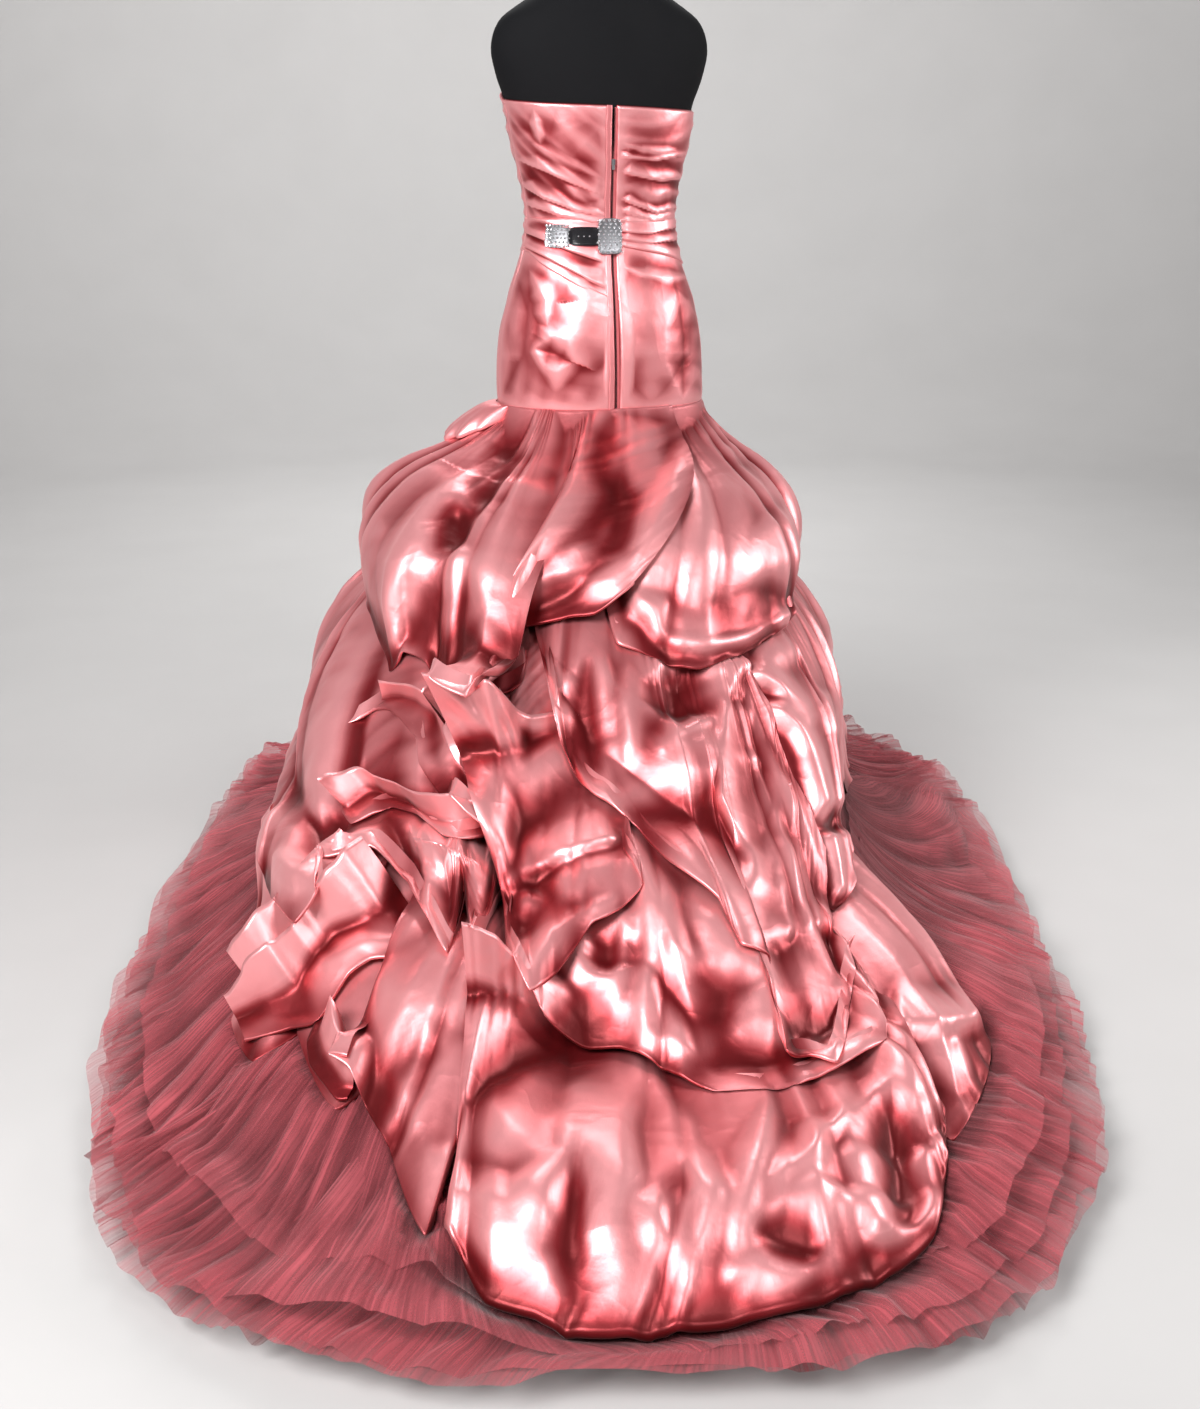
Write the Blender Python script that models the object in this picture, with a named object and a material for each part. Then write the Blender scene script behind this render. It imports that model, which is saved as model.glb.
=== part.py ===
"""Mermaid gown of pink satin and tulle, worn by a limbless dress form on a stand.

Metres, +Z up. The origin is the middle of the stand's underside. The wearer's back faces -Y, and the
train runs out behind it, swept a little towards -X. Every cloth piece is a thin wall with an open inside.
"""

import math

import bpy
import numpy as np
from mathutils import Vector
from mathutils.bvhtree import BVHTree

# Driving sizes of the cloth and of the gaps between pieces.
SATIN = 0.002
TULLE = 0.001
SEAM_GAP = 0.0003
FORM_CLEARANCE = 0.0005

# Heights on the figure.
WAIST_Z = 1.085
YOKE_TOP_Z = 1.100
HIP_SEAM_Z = 0.800

# The train is swept this far towards -X from straight behind the wearer.
TRAIN_SWEEP = math.radians(-12)

# Stand under the form. The pole sits in a blind bore at each end.
BASE_RADIUS = 0.170
BASE_THICK = 0.012
BASE_RIM = 0.007
BASE_SEAT = 0.004
COLLAR_RADIUS = 0.024
COLLAR_HEIGHT = 0.045
COLLAR_BEVEL = 0.004
POLE_RADIUS = 0.0125
SOCKET_RADIUS = 0.030
SOCKET_MOUTH = 0.018
SOCKET_HEIGHT = 0.030
SOCKET_LID = 0.006

# Zip in the centre back seam.
ZIP_HALF_WIDTH = 0.0045
SLIDER_Z = 1.185
SLIDER_WIDTH = 0.0060
SLIDER_HEIGHT = 0.0090
SLIDER_DEPTH = 0.0030
SLIDER_WING = 0.0022
TAPE_OUT = -0.0005
TAPE_THICK = 0.0012

# The pull tab turns about an axis this far out from the slider's channel. Its end rises a little above the axis.
PULL_REACH = 0.0013
PULL_TOP = 0.0009
PULL_NECK = 0.0028
PULL_SHOULDER = 0.0004
PULL_WIDTH = 0.0050
PULL_LENGTH = 0.0160
PULL_THICK = 0.0010

# The figure's sections, from the neck down.
# z, half width, depth behind the centre line, depth in front of it
FIGURE = np.array([
    (1.570, 0.053, 0.052, 0.052),
    (1.510, 0.055, 0.056, 0.054),
    (1.462, 0.068, 0.066, 0.060),
    (1.432, 0.118, 0.080, 0.070),
    (1.400, 0.163, 0.090, 0.082),
    (1.360, 0.178, 0.098, 0.100),
    (1.315, 0.170, 0.103, 0.118),
    (1.270, 0.1535, 0.103, 0.124),
    (1.225, 0.145, 0.100, 0.122),
    (1.180, 0.134, 0.096, 0.108),
    (1.130, 0.124, 0.091, 0.096),
    (1.085, 0.1205, 0.089, 0.092),
    (1.040, 0.129, 0.095, 0.095),
    (0.980, 0.149, 0.108, 0.102),
    (0.920, 0.1645, 0.119, 0.108),
    (0.860, 0.1705, 0.124, 0.111),
    (0.800, 0.1705, 0.124, 0.112),
    (0.740, 0.166, 0.120, 0.108),
])

# Bust of the bodice's cups: height, angle from centre front, reach, spread in angle and in height.
CUP_Z = 1.240
CUP_ANGLE = math.radians(34)
CUP_REACH = 0.020
CUP_SPREAD = math.radians(24)
CUP_TALL = 0.052

# Upper edge of the bodice round the figure: angle from centre back, height.
NECKLINE = ((-180, 1.288), (-150, 1.312), (-120, 1.300), (-90, 1.281), (-40, 1.274), (0, 1.270),
            (40, 1.266), (90, 1.263), (120, 1.292), (150, 1.310), (180, 1.288))

# Lower edge of the waist drape: angle from centre back, height. It steps down at the zip.
DRAPE_LEFT = ((-180, 0.990), (-140, 1.022), (-95, 1.048), (-70, 1.044), (-35, 1.010), (0, 0.966))
DRAPE_RIGHT = ((0, 1.056), (40, 1.040), (80, 1.022), (90, 1.018))
DRAPE_FRONT = ((-180, 0.990), (-140, 1.022), (-95, 1.048), (-80, 1.047), (0, 1.03), (80, 1.022), (120, 1.008),
               (180, 0.990))

# The bodice is cut at the side seams and beside the zip.
SIDE_SEAM = 86.0
ZIP = None
SEAM_RADIUS = 0.12
NECKLINE_AT_ZIP = 1.270

# Pleats that run round the body: how many a metre, how far they lean in pleats a degree, how deep.
LEFT_PLEATS = (32, 0.075, 0.0022)
RIGHT_PLEATS = (30, -0.010, 0.0022)
FRONT_PLEATS = (26, 0.020, 0.0018)
LEFT_DRAPE_PLEATS = (50, -0.014, 0.0024)
RIGHT_DRAPE_PLEATS = (50, 0.012, 0.0024)
FRONT_DRAPE_PLEATS = (42, 0.004, 0.0024)
HIP_CREASES = (6, 0.020, 0.0010)

# The clasp's pieces: name, angles from centre back in degrees, height, thickness, and what each is made of.
CLASP_Z = 1.072
CLASP = (("clasp_plate", -53.0, -31.3, 0.036, 0.0022, "silver"),
         ("clasp_strip", -31.0, -10.9, 0.030, 0.0020, "enamel"),
         ("clasp_buckle", -10.6, 6.5, 0.055, 0.0030, "silver"))

# The form's grid.
FORM_COLUMNS = 28
FORM_HEIGHTS = (1.560, 1.540, 1.500, 1.468, 1.446, 1.428, 1.408, 1.382, 1.352, 1.318, 1.282, 1.246, 1.210, 1.170,
                1.130, 1.090, 1.050, 1.005, 0.955, 0.900, 0.845, 0.790, 0.742)
CAP_RADIUS = 0.049
CAP_THICK = 0.006

# Colour, roughness and metallic value of each kind of piece.
LOOKS = {
    "satin": ((0.68, 0.155, 0.162), 0.30, 0.0),
    "tulle": ((0.55, 0.165, 0.178), 0.80, 0.0),
    "tape": ((0.52, 0.117, 0.130), 0.70, 0.0),
    "jersey": ((0.012, 0.012, 0.014), 0.75, 0.0),
    "steel": ((0.020, 0.020, 0.022), 0.40, 0.6),
    "silver": ((0.72, 0.72, 0.77), 0.20, 1.0),
    "enamel": ((0.010, 0.010, 0.012), 0.25, 0.0),
}

# The skirt's rings, from the hip seam to the tulle hem.
# half width to -X and to +X, depth behind, depth in front, z behind, z at the sides, z in front, squareness
RINGS = np.array([
    (0.1715, 0.1715, 0.125, 0.113, 0.800, 0.800, 0.800, 2.0),
    (0.240, 0.210, 0.240, 0.160, 0.665, 0.690, 0.670, 2.0),
    (0.345, 0.298, 0.420, 0.260, 0.490, 0.530, 0.510, 2.1),
    (0.405, 0.333, 0.620, 0.320, 0.330, 0.360, 0.350, 2.3),
    (0.450, 0.372, 0.820, 0.370, 0.200, 0.230, 0.220, 2.5),
    (0.500, 0.435, 1.020, 0.415, 0.110, 0.130, 0.130, 2.8),
    (0.560, 0.515, 1.220, 0.455, 0.055, 0.065, 0.065, 3.0),
    (0.630, 0.600, 1.400, 0.495, 0.022, 0.026, 0.026, 3.2),
    (0.712, 0.690, 1.540, 0.530, 0.0012, 0.0012, 0.0012, 3.4),
])
LAST_RING = len(RINGS) - 1

# The ring number that the satin reaches, round the skirt. The tulle's waves grow from there.
SATIN_REACH = ((-180, 5.3), (-120, 5.0), (-90, 4.9), (-60, 5.9), (-40, 5.8), (-15, 6.5), (0, 7.1), (20, 7.1),
               (40, 6.5), (60, 6.3), (75, 5.0), (120, 4.9), (180, 5.3))

# How low a piece is fullest: the power that its way down is raised to. A piece that hangs from the hip is fullest
# near its hem.
FULLEST = 0.75
HANGING_FULLEST = 2.2

# The satin's picked-up pieces, each from the edge that is sewn under to the hem that is turned under.
# Angles are in degrees round the skirt from the middle of the train, and rings are numbers in RINGS.
# A piece that starts at ring 0 hangs from the hip seam. The order is the order in which they are laid.
# sewn angle, sewn ring, hem angle, hem ring, puff, height of the hem, sideways bow in degrees
SWAGS = {
    "satin_side_left": dict(columns=18, rows=5, folds=6, depth=0.008, table=(
        (-104, 3.0, -100, 4.7, 0.030, 0.016, 0), (-84, 3.1, -82, 4.95, 0.045, 0.030, 0),
        (-68, 3.2, -70, 5.15, 0.050, 0.030, 0), (-58, 3.2, -63, 5.60, 0.045, 0.026, 0),
        (-50, 3.2, -57, 6.15, 0.050, 0.030, 0), (-42, 3.1, -45, 5.65, 0.050, 0.030, 0),
        (-33, 3.1, -35, 5.10, 0.045, 0.026, 0), (-24, 3.0, -25, 4.70, 0.040, 0.020, 0),
        (-15, 3.0, -17, 4.40, 0.020, 0.010, 0))),
    "satin_front_low": dict(columns=20, rows=5, folds=9, depth=0.008, table=(
        (84, 3.4, 82, 4.60, 0.020, 0.012, 0), (100, 3.3, 100, 5.00, 0.045, 0.030, 0),
        (125, 3.2, 125, 4.70, 0.045, 0.030, 0), (150, 3.3, 150, 5.15, 0.050, 0.032, 0),
        (180, 3.2, 180, 4.75, 0.045, 0.030, 0), (208, 3.3, 208, 5.15, 0.050, 0.032, 0),
        (235, 3.2, 235, 4.80, 0.045, 0.030, 0), (258, 3.3, 260, 5.00, 0.025, 0.014, 0))),
    "satin_petal_right": dict(columns=9, rows=5, folds=3, depth=0.010, table=(
        (40, 4.4, 43, 6.20, 0.020, 0.012, 0), (46, 4.3, 50, 6.45, 0.045, 0.030, 0),
        (53, 4.3, 58, 6.20, 0.045, 0.030, 0), (60, 4.2, 65, 5.70, 0.035, 0.022, 0),
        (66, 4.1, 71, 5.10, 0.015, 0.010, 0))),
    "satin_diagonal": dict(columns=11, rows=6, folds=3, depth=0.006, table=(
        (-27, 3.8, -42, 5.30, 0.012, 0.008, 0), (-22, 3.8, -38, 5.50, 0.040, 0.028, 0),
        (-18, 3.8, -30, 5.85, 0.050, 0.030, 0), (-14, 3.8, -22, 6.15, 0.050, 0.030, 0),
        (-11, 3.9, -15, 6.42, 0.050, 0.030, 0), (-7, 4.0, -9, 6.00, 0.030, 0.018, 0),
        (-3, 4.1, -4, 5.40, 0.012, 0.008, 0))),
    "satin_train": dict(columns=22, rows=6, folds=7, depth=0.007, table=(
        (-13, 4.7, -15, 5.85, 0.015, 0.010, 0), (-9, 4.6, -13, 6.45, 0.045, 0.038, 0),
        (-5, 4.6, -8, 6.92, 0.055, 0.050, 0), (0, 4.6, -1, 7.10, 0.060, 0.054, 0),
        (6, 4.6, 6, 7.14, 0.060, 0.054, 0), (12, 4.7, 13, 7.10, 0.060, 0.054, 0),
        (18, 4.7, 20, 7.00, 0.060, 0.052, 0), (25, 4.8, 27, 6.85, 0.060, 0.050, 0),
        (32, 4.8, 35, 6.58, 0.055, 0.045, 0), (38, 4.8, 42, 6.10, 0.040, 0.030, 0),
        (43, 4.8, 46, 5.60, 0.015, 0.010, 0))),
    "satin_side_right": dict(columns=18, rows=6, folds=7, depth=0.008, table=(
        (30, 2.0, 36, 3.60, 0.020, 0.012, 0), (42, 2.0, 45, 4.20, 0.040, 0.026, 0),
        (56, 2.0, 57, 4.40, 0.042, 0.026, 0), (70, 2.0, 71, 4.05, 0.044, 0.028, 0),
        (86, 2.0, 87, 3.80, 0.046, 0.028, 0), (102, 2.0, 102, 3.95, 0.045, 0.030, 0),
        (118, 2.0, 118, 3.60, 0.020, 0.012, 0))),
    "satin_front_mid": dict(columns=20, rows=5, folds=9, depth=0.008, table=(
        (108, 2.0, 108, 3.55, 0.020, 0.012, 0), (128, 1.9, 128, 3.85, 0.050, 0.032, 0),
        (150, 1.9, 150, 3.50, 0.050, 0.032, 0), (176, 1.9, 176, 3.90, 0.055, 0.034, 0),
        (204, 1.9, 204, 3.55, 0.050, 0.032, 0), (230, 1.9, 230, 3.85, 0.050, 0.032, 0),
        (252, 2.0, 252, 3.45, 0.020, 0.012, 0))),
    "satin_swag_left": dict(columns=22, rows=6, folds=8, depth=0.009, table=(
        (-112, 1.9, -108, 3.35, 0.020, 0.012, 0), (-94, 1.9, -90, 3.60, 0.055, 0.034, 0),
        (-76, 2.0, -76, 3.85, 0.060, 0.034, 0), (-62, 2.2, -62, 4.05, 0.060, 0.034, 0),
        (-48, 2.2, -47, 3.88, 0.058, 0.032, 0), (-37, 2.2, -37, 3.62, 0.058, 0.032, 0),
        (-27, 2.0, -27, 3.52, 0.058, 0.034, 0), (-17, 1.8, -17, 3.46, 0.048, 0.030, 0),
        (-8, 1.7, -9, 3.15, 0.015, 0.010, 0))),
    "satin_drape_low": dict(columns=18, rows=6, folds=6, depth=0.008, table=(
        (-13, 3.1, -13, 4.25, 0.012, 0.010, 0), (-6, 2.9, -9, 4.55, 0.040, 0.030, 0),
        (0, 2.9, -3, 4.80, 0.055, 0.038, 0), (6, 2.9, 5, 5.02, 0.060, 0.042, 0),
        (12, 2.9, 12, 5.25, 0.060, 0.042, 0), (18, 3.0, 20, 5.36, 0.060, 0.042, 0),
        (25, 3.1, 28, 5.28, 0.055, 0.038, 0), (32, 3.2, 36, 5.10, 0.045, 0.030, 0),
        (38, 3.4, 42, 4.80, 0.015, 0.010, 0))),
    "satin_cuff": dict(columns=9, rows=5, folds=2, depth=0.008, table=(
        (-25, 2.9, -21, 4.05, 0.015, 0.010, 0), (-16, 2.7, -14, 4.32, 0.045, 0.030, 0),
        (-8, 2.6, -7, 4.25, 0.050, 0.032, 0), (-2, 2.6, 0, 4.00, 0.045, 0.030, 0),
        (5, 2.6, 6, 3.65, 0.015, 0.010, 0))),
    "satin_drape_right": dict(columns=18, rows=7, folds=5, depth=0.008, table=(
        (-17, 1.6, 0, 3.02, 0.015, 0.010, -4), (-9, 1.6, 8, 3.36, 0.040, 0.022, -3),
        (0, 1.6, 15, 3.76, 0.050, 0.026, -2), (8, 1.7, 21, 4.18, 0.055, 0.028, 0),
        (16, 1.7, 24, 4.46, 0.055, 0.026, 0), (23, 1.8, 22, 4.95, 0.055, 0.030, 2),
        (29, 1.8, 30, 4.78, 0.050, 0.026, 2), (34, 1.9, 37, 4.28, 0.040, 0.020, 2),
        (38, 2.0, 42, 3.70, 0.012, 0.010, 2))),
    "satin_upper_right": dict(columns=26, rows=6, folds=9, depth=0.006, fullest=HANGING_FULLEST, table=(
        (10, 0.0, 3, 1.70, 0.012, 0.010, 4), (24, 0.0, 10, 2.05, 0.045, 0.030, 4),
        (38, 0.0, 19, 2.24, 0.052, 0.036, 3), (50, 0.0, 32, 2.18, 0.050, 0.034, 2),
        (62, 0.0, 46, 2.12, 0.044, 0.030, 1), (74, 0.0, 62, 2.32, 0.040, 0.028, 0),
        (90, 0.0, 82, 2.08, 0.042, 0.028, 0), (112, 0.0, 110, 2.28, 0.050, 0.032, 0),
        (140, 0.0, 140, 2.10, 0.050, 0.034, 0), (168, 0.0, 168, 2.26, 0.045, 0.030, 0),
        (192, 0.0, 192, 1.95, 0.012, 0.010, 0))),
    "satin_upper_left": dict(columns=35, rows=6, folds=14, depth=0.007, fullest=HANGING_FULLEST, table=(
        (-176, 0.0, -176, 2.00, 0.035, 0.026, 0), (-148, 0.0, -148, 2.25, 0.055, 0.034, 0),
        (-118, 0.0, -121, 2.08, 0.060, 0.034, 0), (-90, 0.0, -100, 2.22, 0.064, 0.034, -2),
        (-64, 0.0, -84, 2.12, 0.066, 0.034, -4), (-49, 0.0, -68, 2.52, 0.060, 0.032, -3),
        (-36, 0.0, -57, 2.72, 0.054, 0.030, -2), (-25, 0.0, -46, 2.60, 0.050, 0.030, 0),
        (-14, 0.0, -37, 2.68, 0.050, 0.030, 1), (-3, 0.0, -27, 2.26, 0.046, 0.030, 2),
        (9, 0.0, -17, 2.04, 0.044, 0.028, 3), (22, 0.0, -6, 1.86, 0.040, 0.026, 5),
        (35, 0.0, 3, 1.68, 0.030, 0.018, 7), (46, 0.0, 7, 1.58, 0.010, 0.008, 9))),
}

# Tulle: the plain foundation's grid, and the flounce's waves at the hem.
GORES = ("back", "right", "front", "left")
PETTICOAT_COLUMNS = 40
PETTICOAT_RINGS = (0, 0.4, 1.0, 1.6, 2.2, 2.9, 3.7, 4.6, 5.5)
FLOUNCE_WAVES = 40
FLOUNCE_HEIGHT = 0.022
FLOUNCE_RINGS = (5.2, 6.2, 7.1, 8.0)

# A swag's turned-under hem: how far round it each row is, how far it bulges past the hem, how low it lies.
LIP_SHARES = (0.45, 1.0)
LIP_RINGS = 0.10
LIP_REST = 0.004

# Raising a piece clear of the ones below it.
PROBE = 0.15
RISE_GAP = 0.0004
RISE_ENOUGH = 0.00005
RISE_ROUNDS = 10
CROSS_STEP = 0.0003
CROSS_ROUNDS = 60
HALVES = (slice(None, -1), slice(1, None))
FACETS = (((0, 0), (1, 0), (1, 1)), ((0, 0), (1, 1), (0, 1)))
FACET_SAMPLES = ((0.34, 0.33, 0.33), (0.5, 0.5, 0.0), (0.0, 0.5, 0.5), (0.5, 0.0, 0.5))


def clear_scene():
    """Removes what the startup scene holds."""
    for item in list(bpy.data.objects):
        bpy.data.objects.remove(item)


def finish(name, look):
    """A piece's own Principled material."""
    colour, roughness, metallic = LOOKS[look]
    made = bpy.data.materials.new(name)
    made.use_nodes = True
    shader = made.node_tree.nodes["Principled BSDF"]
    shader.inputs["Base Color"].default_value = (*colour, 1.0)
    shader.inputs["Roughness"].default_value = roughness
    shader.inputs["Metallic"].default_value = metallic
    return made


def smooth_rows(rows, place):
    """Rows of a table read at fractional row numbers, on a Catmull-Rom curve through them."""
    last = len(rows) - 1
    place = np.clip(np.asarray(place, float), 0, last)
    low = np.minimum(place.astype(int), last - 1)
    part = (place - low)[..., None]
    here, after = rows[low], rows[low + 1]
    before = np.where((low > 0)[..., None], rows[np.maximum(low - 1, 0)], 2 * here - after)
    beyond = np.where((low < last - 1)[..., None], rows[np.minimum(low + 2, last)], 2 * after - here)
    return 0.5 * (2 * here + (after - before) * part
                  + (2 * before - 5 * here + 4 * after - beyond) * part ** 2
                  + (3 * here - before - 3 * after + beyond) * part ** 3)


def smooth_step(value):
    """0 to 1 with no slope at either end."""
    value = np.clip(value, 0.0, 1.0)
    return value * value * (3 - 2 * value)


def read_edge(edge, angle):
    """Height or ring number of an edge given as (angle in degrees, value) pairs."""
    degrees, values = np.array(edge).T
    return np.interp(np.degrees(angle), degrees, values)


def figure_point(angle, z, out):
    """Points on the figure at angles from centre back, moved outwards."""
    angle, z = np.broadcast_arrays(np.asarray(angle, float), np.asarray(z, float))
    heights = FIGURE[::-1, 0]
    place = len(FIGURE) - 1 - np.interp(z, heights, np.arange(len(FIGURE)))
    row = smooth_rows(FIGURE, place)
    sine, cosine = np.sin(angle), np.cos(angle)
    width = row[..., 1]
    depth = np.where(cosine > 0, row[..., 2], row[..., 3])
    from_front = np.abs(np.abs(np.arctan2(sine, cosine)) - math.pi)
    cup = CUP_REACH * np.exp(-((from_front - CUP_ANGLE) / CUP_SPREAD) ** 2 - ((z - CUP_Z) / CUP_TALL) ** 2)
    across = np.stack([sine * depth, -cosine * width], -1)
    across /= np.linalg.norm(across, axis=-1, keepdims=True)
    reach = (out + cup)[..., None] * across
    return np.stack([width * sine + reach[..., 0], -depth * cosine + reach[..., 1], z], -1)


def swept(points, turn):
    """Points turned about the Z axis."""
    cosine, sine = math.cos(turn), math.sin(turn)
    x, y, z = np.moveaxis(points, -1, 0)
    return np.stack([x * cosine - y * sine, x * sine + y * cosine, z], -1)


def skirt_point(angle, ring):
    """Points on the skirt's plain foundation, in the train's own frame."""
    row = smooth_rows(RINGS, ring)
    left, right, back, front, z_back, z_side, z_front, square = np.moveaxis(row, -1, 0)
    sine, cosine = np.sin(angle), np.cos(angle)
    width = left + (right - left) * smooth_step(0.5 + 0.5 * sine)
    x = width * np.sign(sine) * np.abs(sine) ** (2 / square)
    depth = np.where(cosine > 0, back, front)
    y = -depth * np.sign(cosine) * np.abs(cosine) ** (2 / square)
    end = cosine ** 2
    z = z_side * (1 - end) + np.where(cosine > 0, z_back, z_front) * end
    loose = np.stack([x, y, z], -1)
    seam = swept(figure_point(angle + TRAIN_SWEEP, HIP_SEAM_Z, 0.0), -TRAIN_SWEEP)
    hold = np.clip(1 - np.asarray(ring, float), 0, 1)[..., None]
    return loose + (seam - skirt_seam(angle)) * hold


def skirt_seam(angle):
    """The first ring as the table alone gives it."""
    width, _, back, front, height = RINGS[0][:5]
    depth = np.where(np.cos(angle) > 0, back, front)
    return np.stack([width * np.sin(angle), -depth * np.cos(angle), np.full_like(angle, height)], -1)


def skirt_out(angle, ring):
    """Unit directions straight out of the foundation."""
    step = 1e-3
    round_it = skirt_point(angle + step, ring) - skirt_point(angle - step, ring)
    ring = np.clip(ring, step, LAST_RING - step)
    down_it = skirt_point(angle, ring + step) - skirt_point(angle, ring - step)
    out = np.cross(down_it, round_it)
    return out / np.linalg.norm(out, axis=-1, keepdims=True)


def sheet_out(grid, closed):
    """Unit directions straight out of a grid of points, rows running down and columns running round."""
    if closed:
        round_it = np.roll(grid, -1, 1) - np.roll(grid, 1, 1)
    else:
        round_it = np.gradient(grid, axis=1)
    down_it = np.gradient(grid, axis=0)
    out = np.cross(down_it, round_it)
    return out / np.linalg.norm(out, axis=-1, keepdims=True)


def wall_mesh(outer, inner, closed):
    """(points, triangles) of a closed wall between two grids of points that match, open or closed round."""
    rows, columns = outer.shape[:2]
    points = np.concatenate([outer.reshape(-1, 3), inner.reshape(-1, 3)])
    inside = rows * columns

    def at(row, column):
        return row * columns + column % columns

    cells = []
    for row in range(rows - 1):
        for column in range(columns if closed else columns - 1):
            skin = (at(row, column), at(row + 1, column), at(row + 1, column + 1), at(row, column + 1))
            cells.append(skin)
            cells.append((inside + skin[0], inside + skin[3], inside + skin[2], inside + skin[1]))
    for column in range(columns if closed else columns - 1):
        for row, order in ((0, 1), (rows - 1, -1)):
            rim = (at(row, column), at(row, column + 1), inside + at(row, column + 1), inside + at(row, column))
            cells.append(rim[::order])
    if not closed:
        for row in range(rows - 1):
            for column, order in ((0, -1), (columns - 1, 1)):
                rim = (at(row, column), at(row + 1, column), inside + at(row + 1, column), inside + at(row, column))
                cells.append(rim[::order])
    triangles = []
    for first, second, third, fourth in cells:
        triangles += [(first, second, third), (first, third, fourth)]
    return points, triangles


def wall(name, skins, look, closed=False):
    """A cloth piece: the wall between its outer and inner grids."""
    points, triangles = wall_mesh(*skins, closed)
    made = solid(name, points.tolist(), triangles, look)
    made.data.shade_smooth()
    return made


class Underlay:
    """The pieces laid so far. The next piece is raised until it is clear of them."""

    def __init__(self):
        self.points, self.faces, self.tree = [], [], None

    def add(self, made):
        first = len(self.points)
        self.points += [vertex.co.copy() for vertex in made.data.vertices]
        self.faces += [tuple(first + index for index in face.vertices) for face in made.data.polygons]
        self.tree = BVHTree.FromPolygons(self.points, self.faces)

    def shortfall(self, points, away):
        """How far each point has to rise along its direction."""
        rise = np.zeros(points.shape[:-1])
        for index in np.ndindex(rise.shape):
            up = Vector(away[index])
            distance = self.tree.ray_cast(Vector(points[index]) + up * PROBE, -up, PROBE + RISE_GAP)[3]
            if distance is not None:
                rise[index] = PROBE + RISE_GAP - distance
        return rise

    def crossing(self, skins, closed):
        """The grid places whose facets cross the pieces below."""
        points, triangles = wall_mesh(*skins, closed)
        tree = BVHTree.FromPolygons(points.tolist(), triangles)
        marked = np.zeros(skins[0].shape[:2], bool)
        for facet, _ in tree.overlap(self.tree):
            for corner in triangles[facet]:
                marked.flat[corner % marked.size] = True
        return marked


def raise_clear(foot, away, height, skins, underlay, closed=False):
    """The outer and inner grids of a sheet, raised off its foot points until it clears the pieces below."""
    for _ in range(RISE_ROUNDS):
        sides = skins(foot + away * height[..., None])
        need = np.zeros(height.shape)
        for skin in sides:
            np.maximum(need, underlay.shortfall(skin, away), out=need)
            for corners in FACETS:
                shift = [(HALVES[row], HALVES[column]) for row, column in corners]
                for weights in FACET_SAMPLES:
                    middle = sum(weight * skin[place] for weight, place in zip(weights, shift))
                    up = sum(weight * away[place] for weight, place in zip(weights, shift))
                    rise = underlay.shortfall(middle, up)
                    for place in shift:
                        np.maximum(need[place], rise, out=need[place])
        height = height + need
        if need.max() < RISE_ENOUGH:
            break
    for _ in range(CROSS_ROUNDS):
        sides = skins(foot + away * height[..., None])
        marked = underlay.crossing(sides, closed)
        if not marked.any():
            break
        height = height + marked * CROSS_STEP
    return sides


def swag_sheet(made):
    """(angle, ring, height) of a picked-up piece: rows from its sewn edge down to its turned-under hem."""
    columns, rows = made["columns"], made["rows"]
    table = np.array(made["table"], float)
    across = np.linspace(0, 1, columns)
    row = smooth_rows(table, across * (len(table) - 1))
    sewn_angle, sewn_ring, hem_angle, hem_ring, puff, lip, bow = row.T
    down = np.linspace(0, 1, rows)[:, None]
    angle = np.radians(sewn_angle * (1 - down) + hem_angle * down + bow * 4 * down * (1 - down))
    ring = sewn_ring * (1 - down) + hem_ring * down
    phase = across * made["folds"] * 2 * math.pi
    gather = made["depth"] * (np.cos(phase) + 0.35 * np.cos(2 * phase + 1.1)) * np.sin(math.pi * across) ** 0.5
    fullest = made.get("fullest", FULLEST)
    swell = puff * np.sin(math.pi * down ** fullest) + lip * smooth_step(down * 1.6)
    height = np.maximum(swell + gather * smooth_step(down * 4) * (1 - 0.45 * down), LIP_REST)
    height[0] = 0
    for share in LIP_SHARES:
        angle = np.concatenate([angle, angle[-1:]])
        ring = np.concatenate([ring, ring[rows - 1:rows] + LIP_RINGS * math.sin(math.pi * share)])
        fall = (height[rows - 1] - LIP_REST) * (1 + math.cos(math.pi * share)) / 2
        height = np.concatenate([height, (LIP_REST + fall)[None, :]])
    height[-1] = 0
    return angle, ring, height


def sheet_skins(thick, closed, hangs):
    """A function that gives a sheet's outer and inner grids. One that hangs from the hip seam ends level there."""
    def skins(points):
        out = sheet_out(points, closed)
        outer, inner = points + out * thick / 2, points - out * thick / 2
        if hangs:
            outer[0, :, 2] = inner[0, :, 2] = HIP_SEAM_Z - SEAM_GAP
        inner[..., 2] = np.maximum(inner[..., 2], 0)
        outer[..., 2] = np.maximum(outer[..., 2], thick)
        return outer, inner
    return skins


def skirt_foot(angle, ring):
    """Where the foundation is under each place of a sheet, and the way out of it there."""
    return swept(skirt_point(angle, ring), TRAIN_SWEEP), swept(skirt_out(angle, ring), TRAIN_SWEEP)


def make_swag(name, underlay):
    """A picked-up satin piece, laid over what is there already."""
    angle, ring, height = swag_sheet(SWAGS[name])
    hangs = SWAGS[name]["table"][0][1] == 0
    skins = sheet_skins(SATIN, False, hangs)
    underlay.add(wall(name, raise_clear(*skirt_foot(angle, ring), height, skins, underlay), "satin"))


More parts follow.
